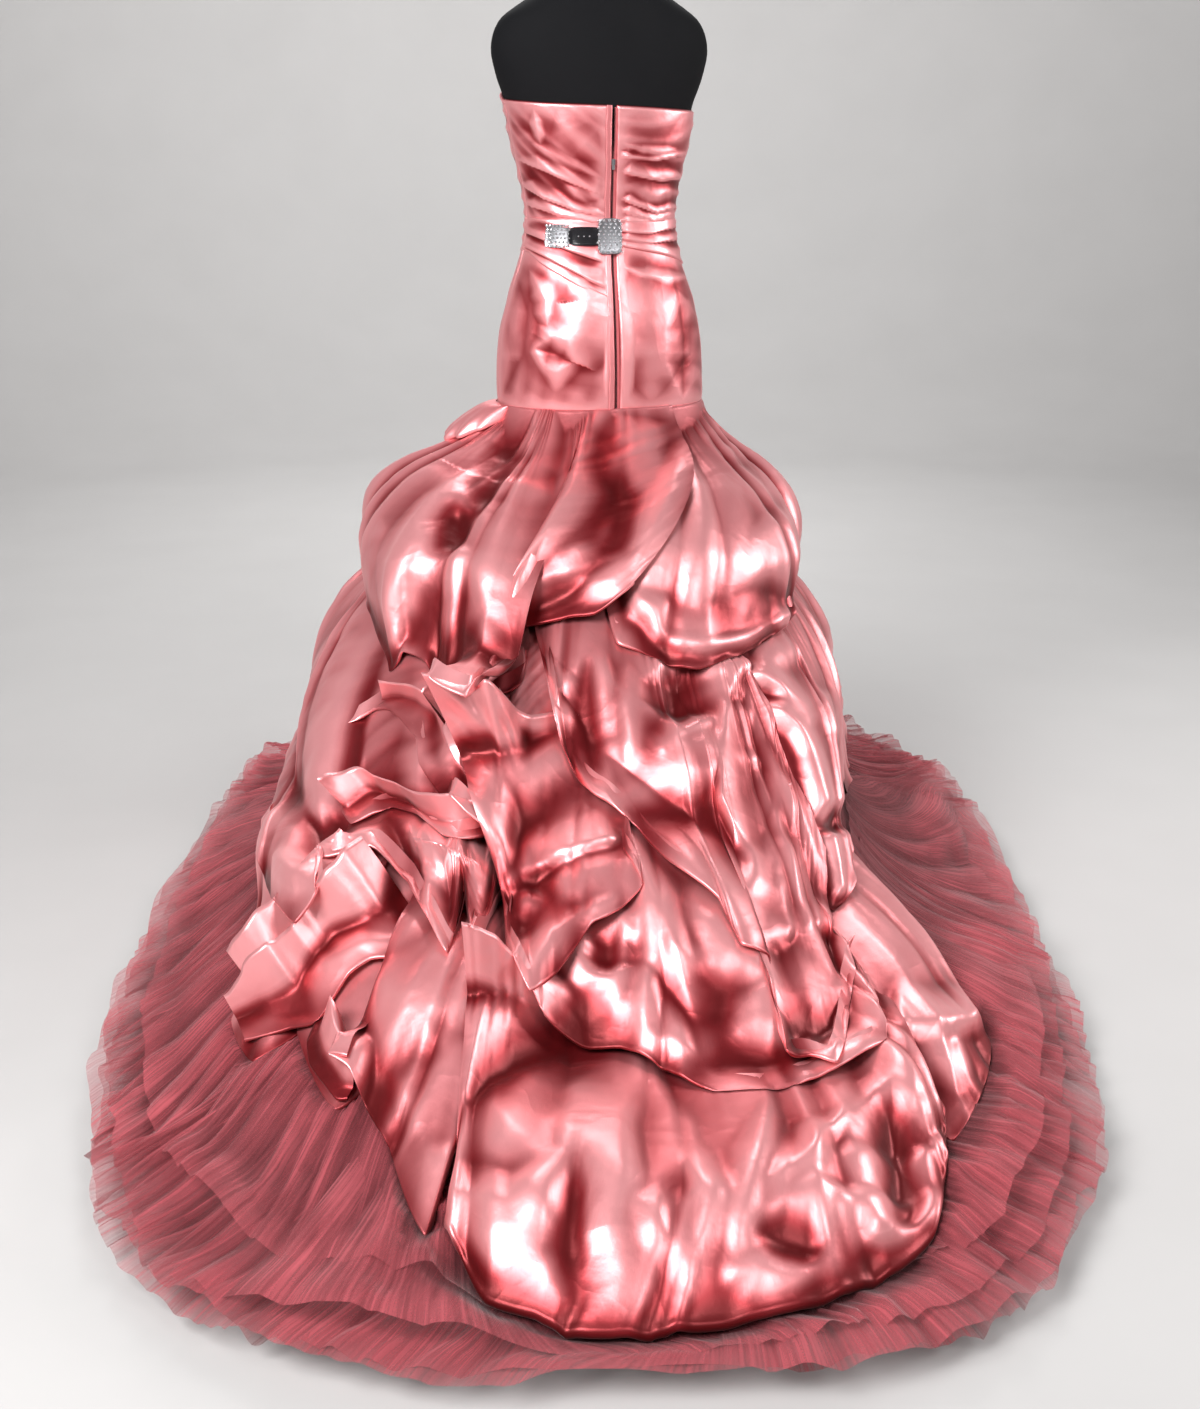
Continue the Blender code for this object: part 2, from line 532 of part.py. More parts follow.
def make_gores(name, sides, underlay):
    """Cuts a tulle wall that is closed all round into its gores, with a seam's gap between them."""
    columns = sides[0].shape[1]
    width = columns // len(GORES)
    for number, place in enumerate(GORES):
        taken = np.arange(number * width - width // 2, (number + 1) * width - width // 2 + 1) % columns
        cut = [side[:, taken].copy() for side in sides]
        for side in cut:
            for end, beside in ((0, 1), (-1, -2)):
                inward = side[:, beside] - side[:, end]
                side[:, end] += inward / np.linalg.norm(inward, axis=-1, keepdims=True) * SEAM_GAP / 2
        underlay.add(wall(f"{name}_{place}", cut, "tulle"))


def make_petticoat(underlay):
    """The plain tulle foundation that the satin is tacked to, and the gathered tulle flounce at its foot."""
    angle, ring = np.broadcast_arrays(around(PETTICOAT_COLUMNS), np.array(PETTICOAT_RINGS)[:, None])
    foot, away = skirt_foot(angle, ring)
    sides = sheet_skins(TULLE, True, True)(foot - away * TULLE / 2)
    make_gores("petticoat", sides, underlay)
    angle, ring = np.broadcast_arrays(around(FLOUNCE_WAVES * 3), np.array(FLOUNCE_RINGS)[:, None])
    full = FLOUNCE_HEIGHT * (1 - np.cos(angle * FLOUNCE_WAVES)) / 2
    skins = sheet_skins(TULLE, True, False)
    sides = raise_clear(*skirt_foot(angle, ring), full * tulle_growth(angle, ring), skins, underlay, closed=True)
    make_gores("flounce", sides, underlay)


def tulle_growth(angle, ring):
    """How much of their full height the tulle's waves have: none under the satin, all at the hem."""
    wrapped = (angle + math.pi) % (2 * math.pi) - math.pi
    start = read_edge(SATIN_REACH, wrapped) - 0.5
    return smooth_step((ring - start) / (LAST_RING - start))


def around(columns):
    """Angles all the way round, as one row."""
    return np.radians(np.arange(columns) * 360 / columns)[None, :]


def lathe(name, profile, look, columns=20):
    """A solid turned about the Z axis from (radius, z) pairs, closed by its first and last pair on the axis."""
    angle = around(columns)[0]
    points = [(0.0, 0.0, profile[0][1])]
    for radius, z in profile:
        points += [(radius * math.sin(turn), -radius * math.cos(turn), z) for turn in angle]
    points.append((0.0, 0.0, profile[-1][1]))
    faces = []
    for step in range(len(profile)):
        first, second = 1 + step * columns, 1 + (step + 1) * columns
        for column in range(columns):
            after = (column + 1) % columns
            if step == 0:
                faces.append((0, first + after, first + column))
            if step < len(profile) - 1:
                faces.append((first + column, first + after, second + after, second + column))
            else:
                faces.append((len(points) - 1, first + column, first + after))
    return solid(name, points, faces, look)


def solid(name, points, faces, look):
    """An object made from its points and faces."""
    mesh = bpy.data.meshes.new(name)
    mesh.from_pydata(points, [], faces)
    mesh.materials.append(finish(name, look))
    made = bpy.data.objects.new(name, mesh)
    bpy.data.collections["Mermaid gown"].objects.link(made)
    return made


def prism(name, outline, run, look):
    """A block with this outline, extruded along a vector."""
    count = len(outline)
    points = outline + [corner + run for corner in outline]
    faces = [tuple(range(count)), tuple(reversed(range(count, 2 * count)))]
    for corner in range(count):
        after = (corner + 1) % count
        faces.append((after, corner, count + corner, count + after))
    return solid(name, points, faces, look)


def make_form():
    """The limbless form that wears the gown, its neck cap, and its stand."""
    angle, z = np.broadcast_arrays(around(FORM_COLUMNS), np.array(FORM_HEIGHTS)[:, None])
    skin = figure_point(angle, z, np.full(z.shape, -(SATIN + FORM_CLEARANCE)))
    rows, columns = z.shape
    faces = [tuple(range(columns)), tuple(reversed(range((rows - 1) * columns, rows * columns)))]
    for row in range(rows - 1):
        for column in range(columns):
            after = (column + 1) % columns
            upper, lower = row * columns, (row + 1) * columns
            faces.append((upper + column, lower + column, lower + after))
            faces.append((upper + column, lower + after, upper + after))
    form = solid("form_torso", skin.reshape(-1, 3).tolist(), faces, "jersey")
    form.data.shade_smooth()
    cap = FORM_HEIGHTS[0] + SEAM_GAP
    lathe("form_neck_cap", ((CAP_RADIUS, cap), (CAP_RADIUS, cap + CAP_THICK)), "steel")
    bore = POLE_RADIUS + SEAM_GAP
    high = FORM_HEIGHTS[-1] - SEAM_GAP
    low, lid = high - SOCKET_HEIGHT, high - SOCKET_LID
    lathe("form_socket", ((bore, lid), (bore, low), (SOCKET_MOUTH, low), (SOCKET_RADIUS, lid),
                          (SOCKET_RADIUS, high)), "steel")
    collar = BASE_THICK + COLLAR_HEIGHT
    lathe("stand_base", ((BASE_RADIUS, 0), (BASE_RADIUS, BASE_RIM), (BASE_RADIUS - BASE_RIM, BASE_THICK),
                         (COLLAR_RADIUS, BASE_THICK), (COLLAR_RADIUS, collar - COLLAR_BEVEL),
                         (COLLAR_RADIUS - COLLAR_BEVEL, collar), (bore, collar), (bore, BASE_SEAT)), "steel")
    lathe("stand_pole", ((POLE_RADIUS, BASE_SEAT + SEAM_GAP), (POLE_RADIUS, lid - SEAM_GAP)), "steel")
    return form


def pleats(count, lean, depth):
    """A relief of soft pleats that run round the body and lean with the angle."""
    def relief(angle, z):
        phase = (z - WAIST_Z) * count + np.degrees(angle) * lean
        return depth * (0.5 + 0.5 * np.cos(2 * math.pi * phase)) ** 1.5
    return relief


def side_edge(z, x):
    """The angle at which the figure is x to one side of centre back."""
    width = figure_point(np.full_like(z, math.pi / 2), z, np.zeros_like(z))[..., 0]
    return np.arcsin(x / width)


def panel(name, sides, top, bottom, columns, rows, relief, underlay):
    """A fitted piece on the figure, plain inside and pleated outside. Each of its two sides is an angle in
    degrees, or ZIP for the edge beside the zip."""
    left, right = sides
    across = np.linspace(0, 1, columns)[None, :]
    down = np.linspace(0, 1, rows)[:, None]
    seam = math.degrees(SEAM_GAP / 2 / SEAM_RADIUS)
    start = 0.0 if left is ZIP else left + seam
    end = 0.0 if right is ZIP else right - seam
    angle = np.radians(start + (end - start) * across) + 0 * down
    z = top(np.degrees(angle)) * (1 - down) + bottom(np.degrees(angle)) * down
    for edge, share, side in ((left, 1 - across, 1), (right, across, -1)):
        if edge is ZIP:
            angle = angle + share * side_edge(z, side * (ZIP_HALF_WIDTH + SEAM_GAP))
    rim = np.minimum(np.minimum(down, 1 - down) * 6, 1)
    raised = relief(angle, z) * rim
    return lay_on_figure(name, angle, z, SATIN + raised, -SATIN, underlay, "satin")


def lay_on_figure(name, angle, z, thick, out, underlay, look):
    """A piece that rests on the figure, at least this far out of it."""
    foot = figure_point(angle, z, np.zeros(z.shape))
    away = figure_point(angle, z, np.ones(z.shape)) - foot

    def skins(points):
        return points + away * thick[..., None], points

    return wall(name, raise_clear(foot, away, np.full(z.shape, out), skins, underlay), look)


def level(z):
    """A level edge."""
    return lambda degrees: np.full_like(degrees, z)


def edge_of(table, lift=0.0):
    """An edge whose height is read from a table of (angle in degrees, height)."""
    degrees_of, heights = np.array(table, float).T
    return lambda degrees: np.interp((degrees + 180) % 360 - 180, degrees_of, heights) + lift


def make_bodice(underlay):
    """The fitted pieces from the neckline to the hip seam."""
    neck, yoke = edge_of(NECKLINE), level(YOKE_TOP_Z + SEAM_GAP)
    top, hem = level(YOKE_TOP_Z), level(HIP_SEAM_Z + SEAM_GAP)
    left, right, front = (-SIDE_SEAM, ZIP), (ZIP, SIDE_SEAM), (SIDE_SEAM, 360 - SIDE_SEAM)
    pieces = [
        panel("bodice_back_left", left, neck, yoke, 12, 12, pleats(*LEFT_PLEATS), underlay),
        panel("bodice_back_right", right, neck, yoke, 12, 12, pleats(*RIGHT_PLEATS), underlay),
        panel("bodice_front", front, neck, yoke, 22, 10, pleats(*FRONT_PLEATS), underlay)]
    for place, sides, table, columns, rows, folds in (
            ("back_left", left, DRAPE_LEFT, 12, 8, LEFT_DRAPE_PLEATS),
            ("back_right", right, DRAPE_RIGHT, 12, 7, RIGHT_DRAPE_PLEATS),
            ("front", front, DRAPE_FRONT, 19, 6, FRONT_DRAPE_PLEATS)):
        drape, hip = "waist_drape_" + place.replace("back_", ""), "hip_" + place
        pieces.append(panel(drape, sides, top, edge_of(table), columns, rows, pleats(*folds), underlay))
        under = edge_of(table, -2 * SEAM_GAP)
        pieces.append(panel(hip, sides, under, hem, columns, 6, pleats(*HIP_CREASES), underlay))
    for piece in pieces:
        underlay.add(piece)


def make_clasp(underlay):
    """The jewelled clasp that closes the waist drape over the zip."""
    for name, left, right, tall, thick, look in CLASP:
        angle, z = np.meshgrid(np.radians(np.linspace(left, right, 6)), CLASP_Z + tall * np.linspace(0.5, -0.5, 5))
        lay_on_figure(name, angle, z, np.full(z.shape, thick), 0.0, underlay, look)


def make_zip(underlay):
    """The zip's tape, its slider at the height where the photograph shows it, and the slider's pull tab."""
    heights = np.linspace(NECKLINE_AT_ZIP - ZIP_HALF_WIDTH, HIP_SEAM_Z + SEAM_GAP, 20)[:, None]
    angle = np.concatenate([side_edge(heights, x) for x in (-ZIP_HALF_WIDTH, 0.0, ZIP_HALF_WIDTH)], 1)
    z = np.broadcast_to(heights, angle.shape)
    tape = lay_on_figure("zip_tape", angle, z, np.full(z.shape, TAPE_THICK), TAPE_OUT - TAPE_THICK, underlay, "tape")
    high, low = SLIDER_Z + SLIDER_HEIGHT / 2, SLIDER_Z - SLIDER_HEIGHT / 2
    near = [vertex.co.y for vertex in tape.data.vertices if abs(vertex.co.z - SLIDER_Z) < 2 * SLIDER_HEIGHT]
    seat = min(near) - SEAM_GAP
    front = seat - SLIDER_DEPTH
    wing = front - SLIDER_WING
    half, slot = SLIDER_WIDTH / 2, PULL_NECK / 2 + SEAM_GAP
    plan = ((-half, seat), (-half, wing), (-slot, wing), (-slot, front),
            (slot, front), (slot, wing), (half, wing), (half, seat))
    prism("zip_slider", [Vector((x, y, high)) for x, y in plan], Vector((0, 0, low - high)), "silver")
    neck, wide = PULL_NECK / 2, PULL_WIDTH / 2
    shoulder = PULL_TOP - SLIDER_HEIGHT - PULL_SHOULDER
    corner, end = shoulder - PULL_TOP, PULL_TOP - PULL_LENGTH
    outline = ((-neck, PULL_TOP), (-neck, shoulder), (-wide, corner), (-wide, end),
               (wide, end), (wide, corner), (neck, shoulder), (neck, PULL_TOP))
    face = [Vector((x, -PULL_THICK / 2, z)) for x, z in outline]
    tab = prism("zip_pull_tab", face, Vector((0, PULL_THICK, 0)), "silver")
    tab.location = (0, front - PULL_REACH, high - PULL_TOP)


def main():
    """Builds the figure's side first, then the skirt from the tulle outwards."""
    clear_scene()
    collection = bpy.data.collections.new("Mermaid gown")
    bpy.context.scene.collection.children.link(collection)
    figure = Underlay()
    figure.add(make_form())
    make_zip(figure)
    make_bodice(figure)
    make_clasp(figure)
    skirt = Underlay()
    make_petticoat(skirt)
    for name in SWAGS:
        make_swag(name, skirt)


main()
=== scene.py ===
# %% [markdown]
# # A mermaid gown on its form
#
# This lesson dresses a imported CAD model. The gown is a fitted bodice with a zip, a jewelled clasp at the
# waist, and a skirt of picked-up pink satin over gathered tulle. The imported model fixes every size. Here
# each piece of cloth is made again with fine folds, and each finish is built from shader nodes.
#
# Cloth can be simulated, but a garment like this is held by hundreds of tacks that a simulation doesn't
# know. So the folds are listed instead: lines are read off the photograph, and the cloth is raised along
# them.

import math

import bpy
import numpy as np
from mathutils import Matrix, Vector
from mathutils.bvhtree import BVHTree


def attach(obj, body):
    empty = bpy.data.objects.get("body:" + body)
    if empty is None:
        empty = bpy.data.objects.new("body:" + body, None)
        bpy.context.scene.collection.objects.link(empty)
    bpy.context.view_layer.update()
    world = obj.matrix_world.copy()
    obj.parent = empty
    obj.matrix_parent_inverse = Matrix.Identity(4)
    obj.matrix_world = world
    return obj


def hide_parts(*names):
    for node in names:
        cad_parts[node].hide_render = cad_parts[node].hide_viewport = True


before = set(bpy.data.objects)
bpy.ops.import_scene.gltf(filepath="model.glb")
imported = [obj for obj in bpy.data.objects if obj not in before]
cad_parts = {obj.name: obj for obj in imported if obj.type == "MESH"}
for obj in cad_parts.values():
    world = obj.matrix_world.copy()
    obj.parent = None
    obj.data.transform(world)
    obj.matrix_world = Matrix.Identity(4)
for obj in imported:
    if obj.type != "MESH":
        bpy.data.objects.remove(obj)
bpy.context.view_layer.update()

# %% [markdown]
# ## The camera
#
# The photograph was taken from behind the gown, a little above the waist, looking down at the train. The
# focal length comes from how fast the skirt widens below the hips. The same numbers turn any point of the
# gown into a place in the photograph, which is how the folds get to where they belong.

# %% Place the camera
PHOTO_WIDTH, PHOTO_HEIGHT = 1200, 1409
FOCAL = 1763
SENSOR = 36.0
CAMERA_AWAY, CAMERA_HEIGHT = 3.0, 1.2
CAMERA_TURN = math.radians(-12)
CAMERA_TILT = math.radians(17.4)

camera_data = bpy.data.cameras.new("camera")
camera_data.sensor_width = SENSOR
camera_data.lens = FOCAL * SENSOR / PHOTO_HEIGHT
camera_data.dof.use_dof = False
camera = bpy.data.objects.new("camera", camera_data)
camera.location = (CAMERA_AWAY * math.sin(CAMERA_TURN), -CAMERA_AWAY * math.cos(CAMERA_TURN), CAMERA_HEIGHT)
camera.rotation_euler = (math.pi / 2 - CAMERA_TILT, 0, CAMERA_TURN)
bpy.context.scene.collection.objects.link(camera)
bpy.context.scene.camera = camera

EYE = np.array(camera.location)
RIGHT = np.array((math.cos(CAMERA_TURN), math.sin(CAMERA_TURN), 0.0))
AHEAD = np.array((-math.sin(CAMERA_TURN) * math.cos(CAMERA_TILT),
                  math.cos(CAMERA_TURN) * math.cos(CAMERA_TILT),
                  -math.sin(CAMERA_TILT)))
UP = np.cross(RIGHT, AHEAD)


def in_photo(points):
    """Where points fall in the photograph, in its pixels, and how far away they are."""
    away = points - EYE
    distance = away @ AHEAD
    return np.stack([PHOTO_WIDTH / 2 + FOCAL * (away @ RIGHT) / distance,
                     PHOTO_HEIGHT / 2 - FOCAL * (away @ UP) / distance], -1), distance


print("lens", round(camera_data.lens, 2), "mm")

# %% [markdown]
# ## The figure and the skirt's foundation
#
# The fitted pieces follow a figure, given by its half widths and depths at eighteen heights. The skirt
# follows a foundation of nine rings, from the hip seam to the hem on the floor. A place on it is an angle
# and a ring number, so a piece of cloth is two numbers and a height above the foundation. The tables are
# the CAD model's own.

# %% Tables of the figure and the rings
SATIN = 0.002
WAIST_Z, YOKE_TOP_Z, HIP_SEAM_Z = 1.085, 1.100, 0.800
TRAIN_SWEEP = math.radians(-12)

# Height, half width, depth behind the centre line, depth in front of it.
FIGURE = np.array([
    (1.570, 0.053, 0.052, 0.052), (1.510, 0.055, 0.056, 0.054), (1.462, 0.068, 0.066, 0.060),
    (1.432, 0.118, 0.080, 0.070), (1.400, 0.163, 0.090, 0.082), (1.360, 0.178, 0.098, 0.100),
    (1.315, 0.170, 0.103, 0.118), (1.270, 0.1535, 0.103, 0.124), (1.225, 0.145, 0.100, 0.122),
    (1.180, 0.134, 0.096, 0.108), (1.130, 0.124, 0.091, 0.096), (1.085, 0.1205, 0.089, 0.092),
    (1.040, 0.129, 0.095, 0.095), (0.980, 0.149, 0.108, 0.102), (0.920, 0.1645, 0.119, 0.108),
    (0.860, 0.1705, 0.124, 0.111), (0.800, 0.1705, 0.124, 0.112), (0.740, 0.166, 0.120, 0.108)])
CUP_Z, CUP_ANGLE, CUP_REACH = 1.240, math.radians(34), 0.020
CUP_SPREAD, CUP_TALL = math.radians(24), 0.052

# Half width to -X and to +X, depth behind and in front, z behind, at the sides and in front, squareness.
RINGS = np.array([
    (0.1715, 0.1715, 0.125, 0.113, 0.800, 0.800, 0.800, 2.0),
    (0.240, 0.210, 0.240, 0.160, 0.665, 0.690, 0.670, 2.0),
    (0.345, 0.298, 0.420, 0.260, 0.490, 0.530, 0.510, 2.1),
    (0.405, 0.333, 0.620, 0.320, 0.330, 0.360, 0.350, 2.3),
    (0.450, 0.372, 0.820, 0.370, 0.200, 0.230, 0.220, 2.5),
    (0.500, 0.435, 1.020, 0.415, 0.110, 0.130, 0.130, 2.8),
    (0.560, 0.515, 1.220, 0.455, 0.055, 0.065, 0.065, 3.0),
    (0.630, 0.600, 1.400, 0.495, 0.022, 0.026, 0.026, 3.2),
    (0.712, 0.690, 1.540, 0.530, 0.0012, 0.0012, 0.0012, 3.4)])
LAST_RING = len(RINGS) - 1


def soft_rows(rows, place):
    """Rows of a table read at fractional row numbers, on a Catmull-Rom curve through them."""
    last = len(rows) - 1
    place = np.clip(np.asarray(place, float), 0, last)
    low = np.minimum(place.astype(int), last - 1)
    part = (place - low)[..., None]
    here, after = rows[low], rows[low + 1]
    before = np.where((low > 0)[..., None], rows[np.maximum(low - 1, 0)], 2 * here - after)
    beyond = np.where((low < last - 1)[..., None], rows[np.minimum(low + 2, last)], 2 * after - here)
    return 0.5 * (2 * here + (after - before) * part
                  + (2 * before - 5 * here + 4 * after - beyond) * part ** 2
                  + (3 * here - before - 3 * after + beyond) * part ** 3)


def soft_step(value):
    """0 to 1 with no slope at either end."""
    value = np.clip(value, 0.0, 1.0)
    return value * value * (3 - 2 * value)


def figure_point(angle, z, out):
    """Points on the figure at angles from centre back, moved outwards."""
    angle, z = np.broadcast_arrays(np.asarray(angle, float), np.asarray(z, float))
    place = len(FIGURE) - 1 - np.interp(z, FIGURE[::-1, 0], np.arange(len(FIGURE)))
    row = soft_rows(FIGURE, place)
    sine, cosine = np.sin(angle), np.cos(angle)
    width = row[..., 1]
    depth = np.where(cosine > 0, row[..., 2], row[..., 3])
    from_front = np.abs(np.abs(np.arctan2(sine, cosine)) - math.pi)
    cup = CUP_REACH * np.exp(-((from_front - CUP_ANGLE) / CUP_SPREAD) ** 2 - ((z - CUP_Z) / CUP_TALL) ** 2)
    across = np.stack([sine * depth, -cosine * width], -1)
    across /= np.linalg.norm(across, axis=-1, keepdims=True)
    reach = (out + cup)[..., None] * across
    return np.stack([width * sine + reach[..., 0], -depth * cosine + reach[..., 1], z], -1)


def figure_foot(angle, z):
    """Points on the figure at angles and heights, and the way out of it there, one metre long."""
    foot = figure_point(angle, z, np.zeros(z.shape))
    return foot, figure_point(angle, z, np.ones(z.shape)) - foot


def swept(points, turn):
    """Points turned about the Z axis."""
    cosine, sine = math.cos(turn), math.sin(turn)
    x, y, z = np.moveaxis(points, -1, 0)
    return np.stack([x * cosine - y * sine, x * sine + y * cosine, z], -1)


def foundation(angle, ring):
    """Points on the skirt's foundation, in the train's own frame."""
    angle, ring = np.broadcast_arrays(np.asarray(angle, float), np.asarray(ring, float))
    left, right, back, front, z_back, z_side, z_front, square = np.moveaxis(soft_rows(RINGS, ring), -1, 0)
    sine, cosine = np.sin(angle), np.cos(angle)
    width = left + (right - left) * soft_step(0.5 + 0.5 * sine)
    x = width * np.sign(sine) * np.abs(sine) ** (2 / square)
    y = -np.where(cosine > 0, back, front) * np.sign(cosine) * np.abs(cosine) ** (2 / square)
    end = cosine ** 2
    z = z_side * (1 - end) + np.where(cosine > 0, z_back, z_front) * end
    first_width, _, first_back, first_front, first_z = RINGS[0][:5]
    first_depth = np.where(cosine > 0, first_back, first_front)
    first = np.stack([first_width * sine, -first_depth * cosine, np.full_like(angle, first_z)], -1)
    seam = swept(figure_point(angle + TRAIN_SWEEP, HIP_SEAM_Z, 0.0), -TRAIN_SWEEP)
    return np.stack([x, y, z], -1) + (seam - first) * np.clip(1 - ring, 0, 1)[..., None]


def skirt_foot(angle, ring):
    """Points on the foundation in the gown's frame, and the unit directions straight out of it."""
    step = 1e-3
    round_it = foundation(angle + step, ring) - foundation(angle - step, ring)
    inner = np.clip(ring, step, LAST_RING - step)
    out = np.cross(foundation(angle, inner + step) - foundation(angle, inner - step), round_it)
    out /= np.linalg.norm(out, axis=-1, keepdims=True)
    return swept(foundation(angle, ring), TRAIN_SWEEP), swept(out, TRAIN_SWEEP)


train_reach = np.linalg.norm(foundation(0.0, 0.0) - foundation(0.0, LAST_RING))
print("hip seam to hem", round(float(train_reach), 3), "m behind")

# %% [markdown]
# ## Meshes from grids
#
# Each piece of cloth is a grid of points, rows down and columns across. The grid becomes a mesh with a UV
# map in real metres, so that a weave has the same size on every piece.

# %% A helper that makes a cloth mesh
def grid_faces(rows, columns, closed=False):
    """Four-sided faces of a grid, wound so that they face outwards."""
    row = np.arange(rows - 1)[:, None]
    column = np.arange(columns if closed else columns - 1)[None, :]
    after = (column + 1) % columns
    faces = np.stack([row * columns + column, (row + 1) * columns + column, (row + 1) * columns + after,
                      row * columns + after], -1)
    return faces.reshape(-1, 4)


grids = {}


def cloth(name, points, closed=False):
    """An object from a grid of points, with its UV map in metres along and down the cloth."""
    rows, columns = points.shape[:2]
    grids[name] = points if not closed else np.concatenate([points, points[:, :1]], 1)
    faces = grid_faces(rows, columns, closed)
    mesh = bpy.data.meshes.new(name)
    mesh.from_pydata(points.reshape(-1, 3).tolist(), [], faces.tolist())
    mesh.shade_smooth()
    along = np.linalg.norm(np.diff(points, axis=1, append=points[:, :1]), axis=-1)
    down = np.linalg.norm(np.diff(points, axis=0), axis=-1).mean(1)
    u = np.concatenate([[0], np.cumsum(along.mean(0))])
    v = np.concatenate([[0], np.cumsum(down)])
    corner_row, corner_column = faces // columns, faces % columns
    wraps = (corner_column == 0) & (faces[:, :1] % columns == columns - 1)
    corner_column = np.where(wraps, columns, corner_column)
    flat = np.stack([u[corner_column], v[corner_row]], -1).reshape(-1)
    mesh.uv_layers.new(name="cloth").data.foreach_set("uv", flat)
    made = bpy.data.objects.new(name, mesh)
    bpy.context.scene.collection.objects.link(made)
    return made


def padded_along(values, cells, axis):
    """Values with their edge repeated at both ends of one axis."""
    return np.pad(values, [(cells, cells) if place == axis else (0, 0) for place in (0, 1)], mode="edge")


def softened(values, cells, rounds=2):
    """Values averaged over a square neighbourhood, several times."""
    for _ in range(rounds):
        for axis in (0, 1):
            total = np.cumsum(np.insert(padded_along(values, cells, axis), 0, 0, axis=axis), axis=axis)
            size = values.shape[axis]
            top = np.take(total, np.arange(size) + 2 * cells + 1, axis=axis)
            values = (top - np.take(total, np.arange(size), axis=axis)) / (2 * cells + 1)
    return values


def painted_shade_mask(height, cells=7, deep=0.009):
    """How far cloth stands above its neighbourhood, from 0 in a hollow to 1 on a crest, as a mask for painted
    shade.
    """
    return 0.5 + 0.5 * np.tanh((height - softened(height, cells, 3)) / deep)


def store_painted_shade(made, values):
    """Stores each point's mask of painted shade, low in hollows and high on crests, for its finish to read."""
    made.data.attributes.new("crest", "FLOAT", "POINT").data.foreach_set("value", values.reshape(-1))


def tree_of(points, closed=False):
    """A search tree over a grid's faces."""
    rows, columns = points.shape[:2]
    return BVHTree.FromPolygons(points.reshape(-1, 3).tolist(), grid_faces(rows, columns, closed).tolist())


def shortfall(points, away, trees, gap, probe=0.22):
    """How far each point has to rise along its direction to stand this far off the cloth that lies below."""
    rise = np.zeros(points.shape[:-1])
    for index in np.ndindex(rise.shape):
        up = Vector(away[index])
        start = Vector(points[index]) + up * probe
        for tree in trees:
            distance = tree.ray_cast(start, -up, probe + gap)[3]
            if distance is not None:
                rise[index] = max(rise[index], probe + gap - distance)
    return rise


BRIDGE_SLOPE = 1.0


def bridged(need, cell):
    """The same rise with straight slopes round it, so that cloth hangs like a tent over what is under it."""
    for reach in (1, 2, 4, 8, 16):
        padded = np.pad(need, reach, mode="edge")
        for row in (-reach, 0, reach):
            for column in (-reach, 0, reach):
                shifted = padded[reach + row:padded.shape[0] - reach + row,
                                 reach + column:padded.shape[1] - reach + column]
                need = np.maximum(need, shifted - BRIDGE_SLOPE * cell * math.hypot(row, column))
    return softened(need, 1, 1)


print("cloth helpers ready")

# %% [markdown]
# ## Folds
#
# A fold on real satin is one of four kinds: a round crest, a sharp pinched crest, a valley, or an edge
# where the cloth lies over itself and drops away on one side. Each is a line in the photograph, with a
# width and a height in metres. A point of cloth near the line is raised by an amount that depends on its
# distance. Between those lines the cloth still has small creases, which come from a few sets of thin waves
# bent by slower ones.

# %% Raise cloth along folds
FACING_START, FACING_FULL = 0.02, 0.22
FADE, EDGE_FADE = 0.34, 0.12
FLANK, SKIRT_FLANK = 2.3, 3.6
CROWN = 0.5
STEEP = 9.0


def towards_camera(points, away):
    """1 where cloth faces the camera and 0 where it faces away."""
    view = EYE - points
    view /= np.linalg.norm(view, axis=-1, keepdims=True)
    return soft_step(((view * away).sum(-1) - FACING_START) / (FACING_FULL - FACING_START))


def distance_to(line, places):
    """How far photograph places are from a line, on which side of it, and how far along it."""
    line = np.array(line, float)
    runs = np.linalg.norm(np.diff(line, axis=0), axis=1)
    marks = np.concatenate([[0], np.cumsum(runs)]) / runs.sum()
    best = np.full(places.shape[:-1], np.inf)
    side, along = np.zeros(best.shape), np.zeros(best.shape)
    for start, end, low, high in zip(line[:-1], line[1:], marks[:-1], marks[1:]):
        step = end - start
        part = np.clip(((places - start) @ step) / (step @ step), 0, 1)
        off = places - (start + part[..., None] * step)
        far = np.linalg.norm(off, axis=-1)
        nearer = far < best
        best = np.where(nearer, far, best)
        side = np.where(nearer, np.sign(step[0] * off[..., 1] - step[1] * off[..., 0]), side)
        along = np.where(nearer, low + (high - low) * part, along)
    return best, side, along


def fold_height(points, away, folds, scale=1.0, flank=FLANK):
    """The height that a piece's folds add: roofs over its crests, less roofs over its valleys."""
    raised, sunk = np.zeros(points.shape[:-1]), np.zeros(points.shape[:-1])
    if not folds:
        return raised
    places, depth = in_photo(points)
    for kind, width, height, line in folds:
        far, side, along = distance_to(line, places)
        far = far * depth / FOCAL / width
        fade = FADE
        if kind == "over":
            far = np.where(side < 0, far, far * STEEP)
            fade = EDGE_FADE
        elif kind == "crest":
            far = np.sqrt(far ** 2 + CROWN ** 2) - CROWN
        roof = height * np.maximum(0, np.minimum(1, np.minimum(along, 1 - along) / fade) - far / flank)
        if kind == "valley":
            sunk = np.maximum(sunk, roof)
        else:
            raised = np.maximum(raised, roof)
    return (raised - sunk) * scale * towards_camera(points, away)


def faceted(phase, crown=0.10):
    """A wave with flat flanks, slightly rounded crests and sharp valleys, from 0 to about 1."""
    return 1 - np.sqrt((2 * (phase % 1.0) - 1) ** 2 + crown ** 2)


def seed_of(name):
    """A seed of a piece's own, from the letters of its name."""
    return sum(map(ord, name))


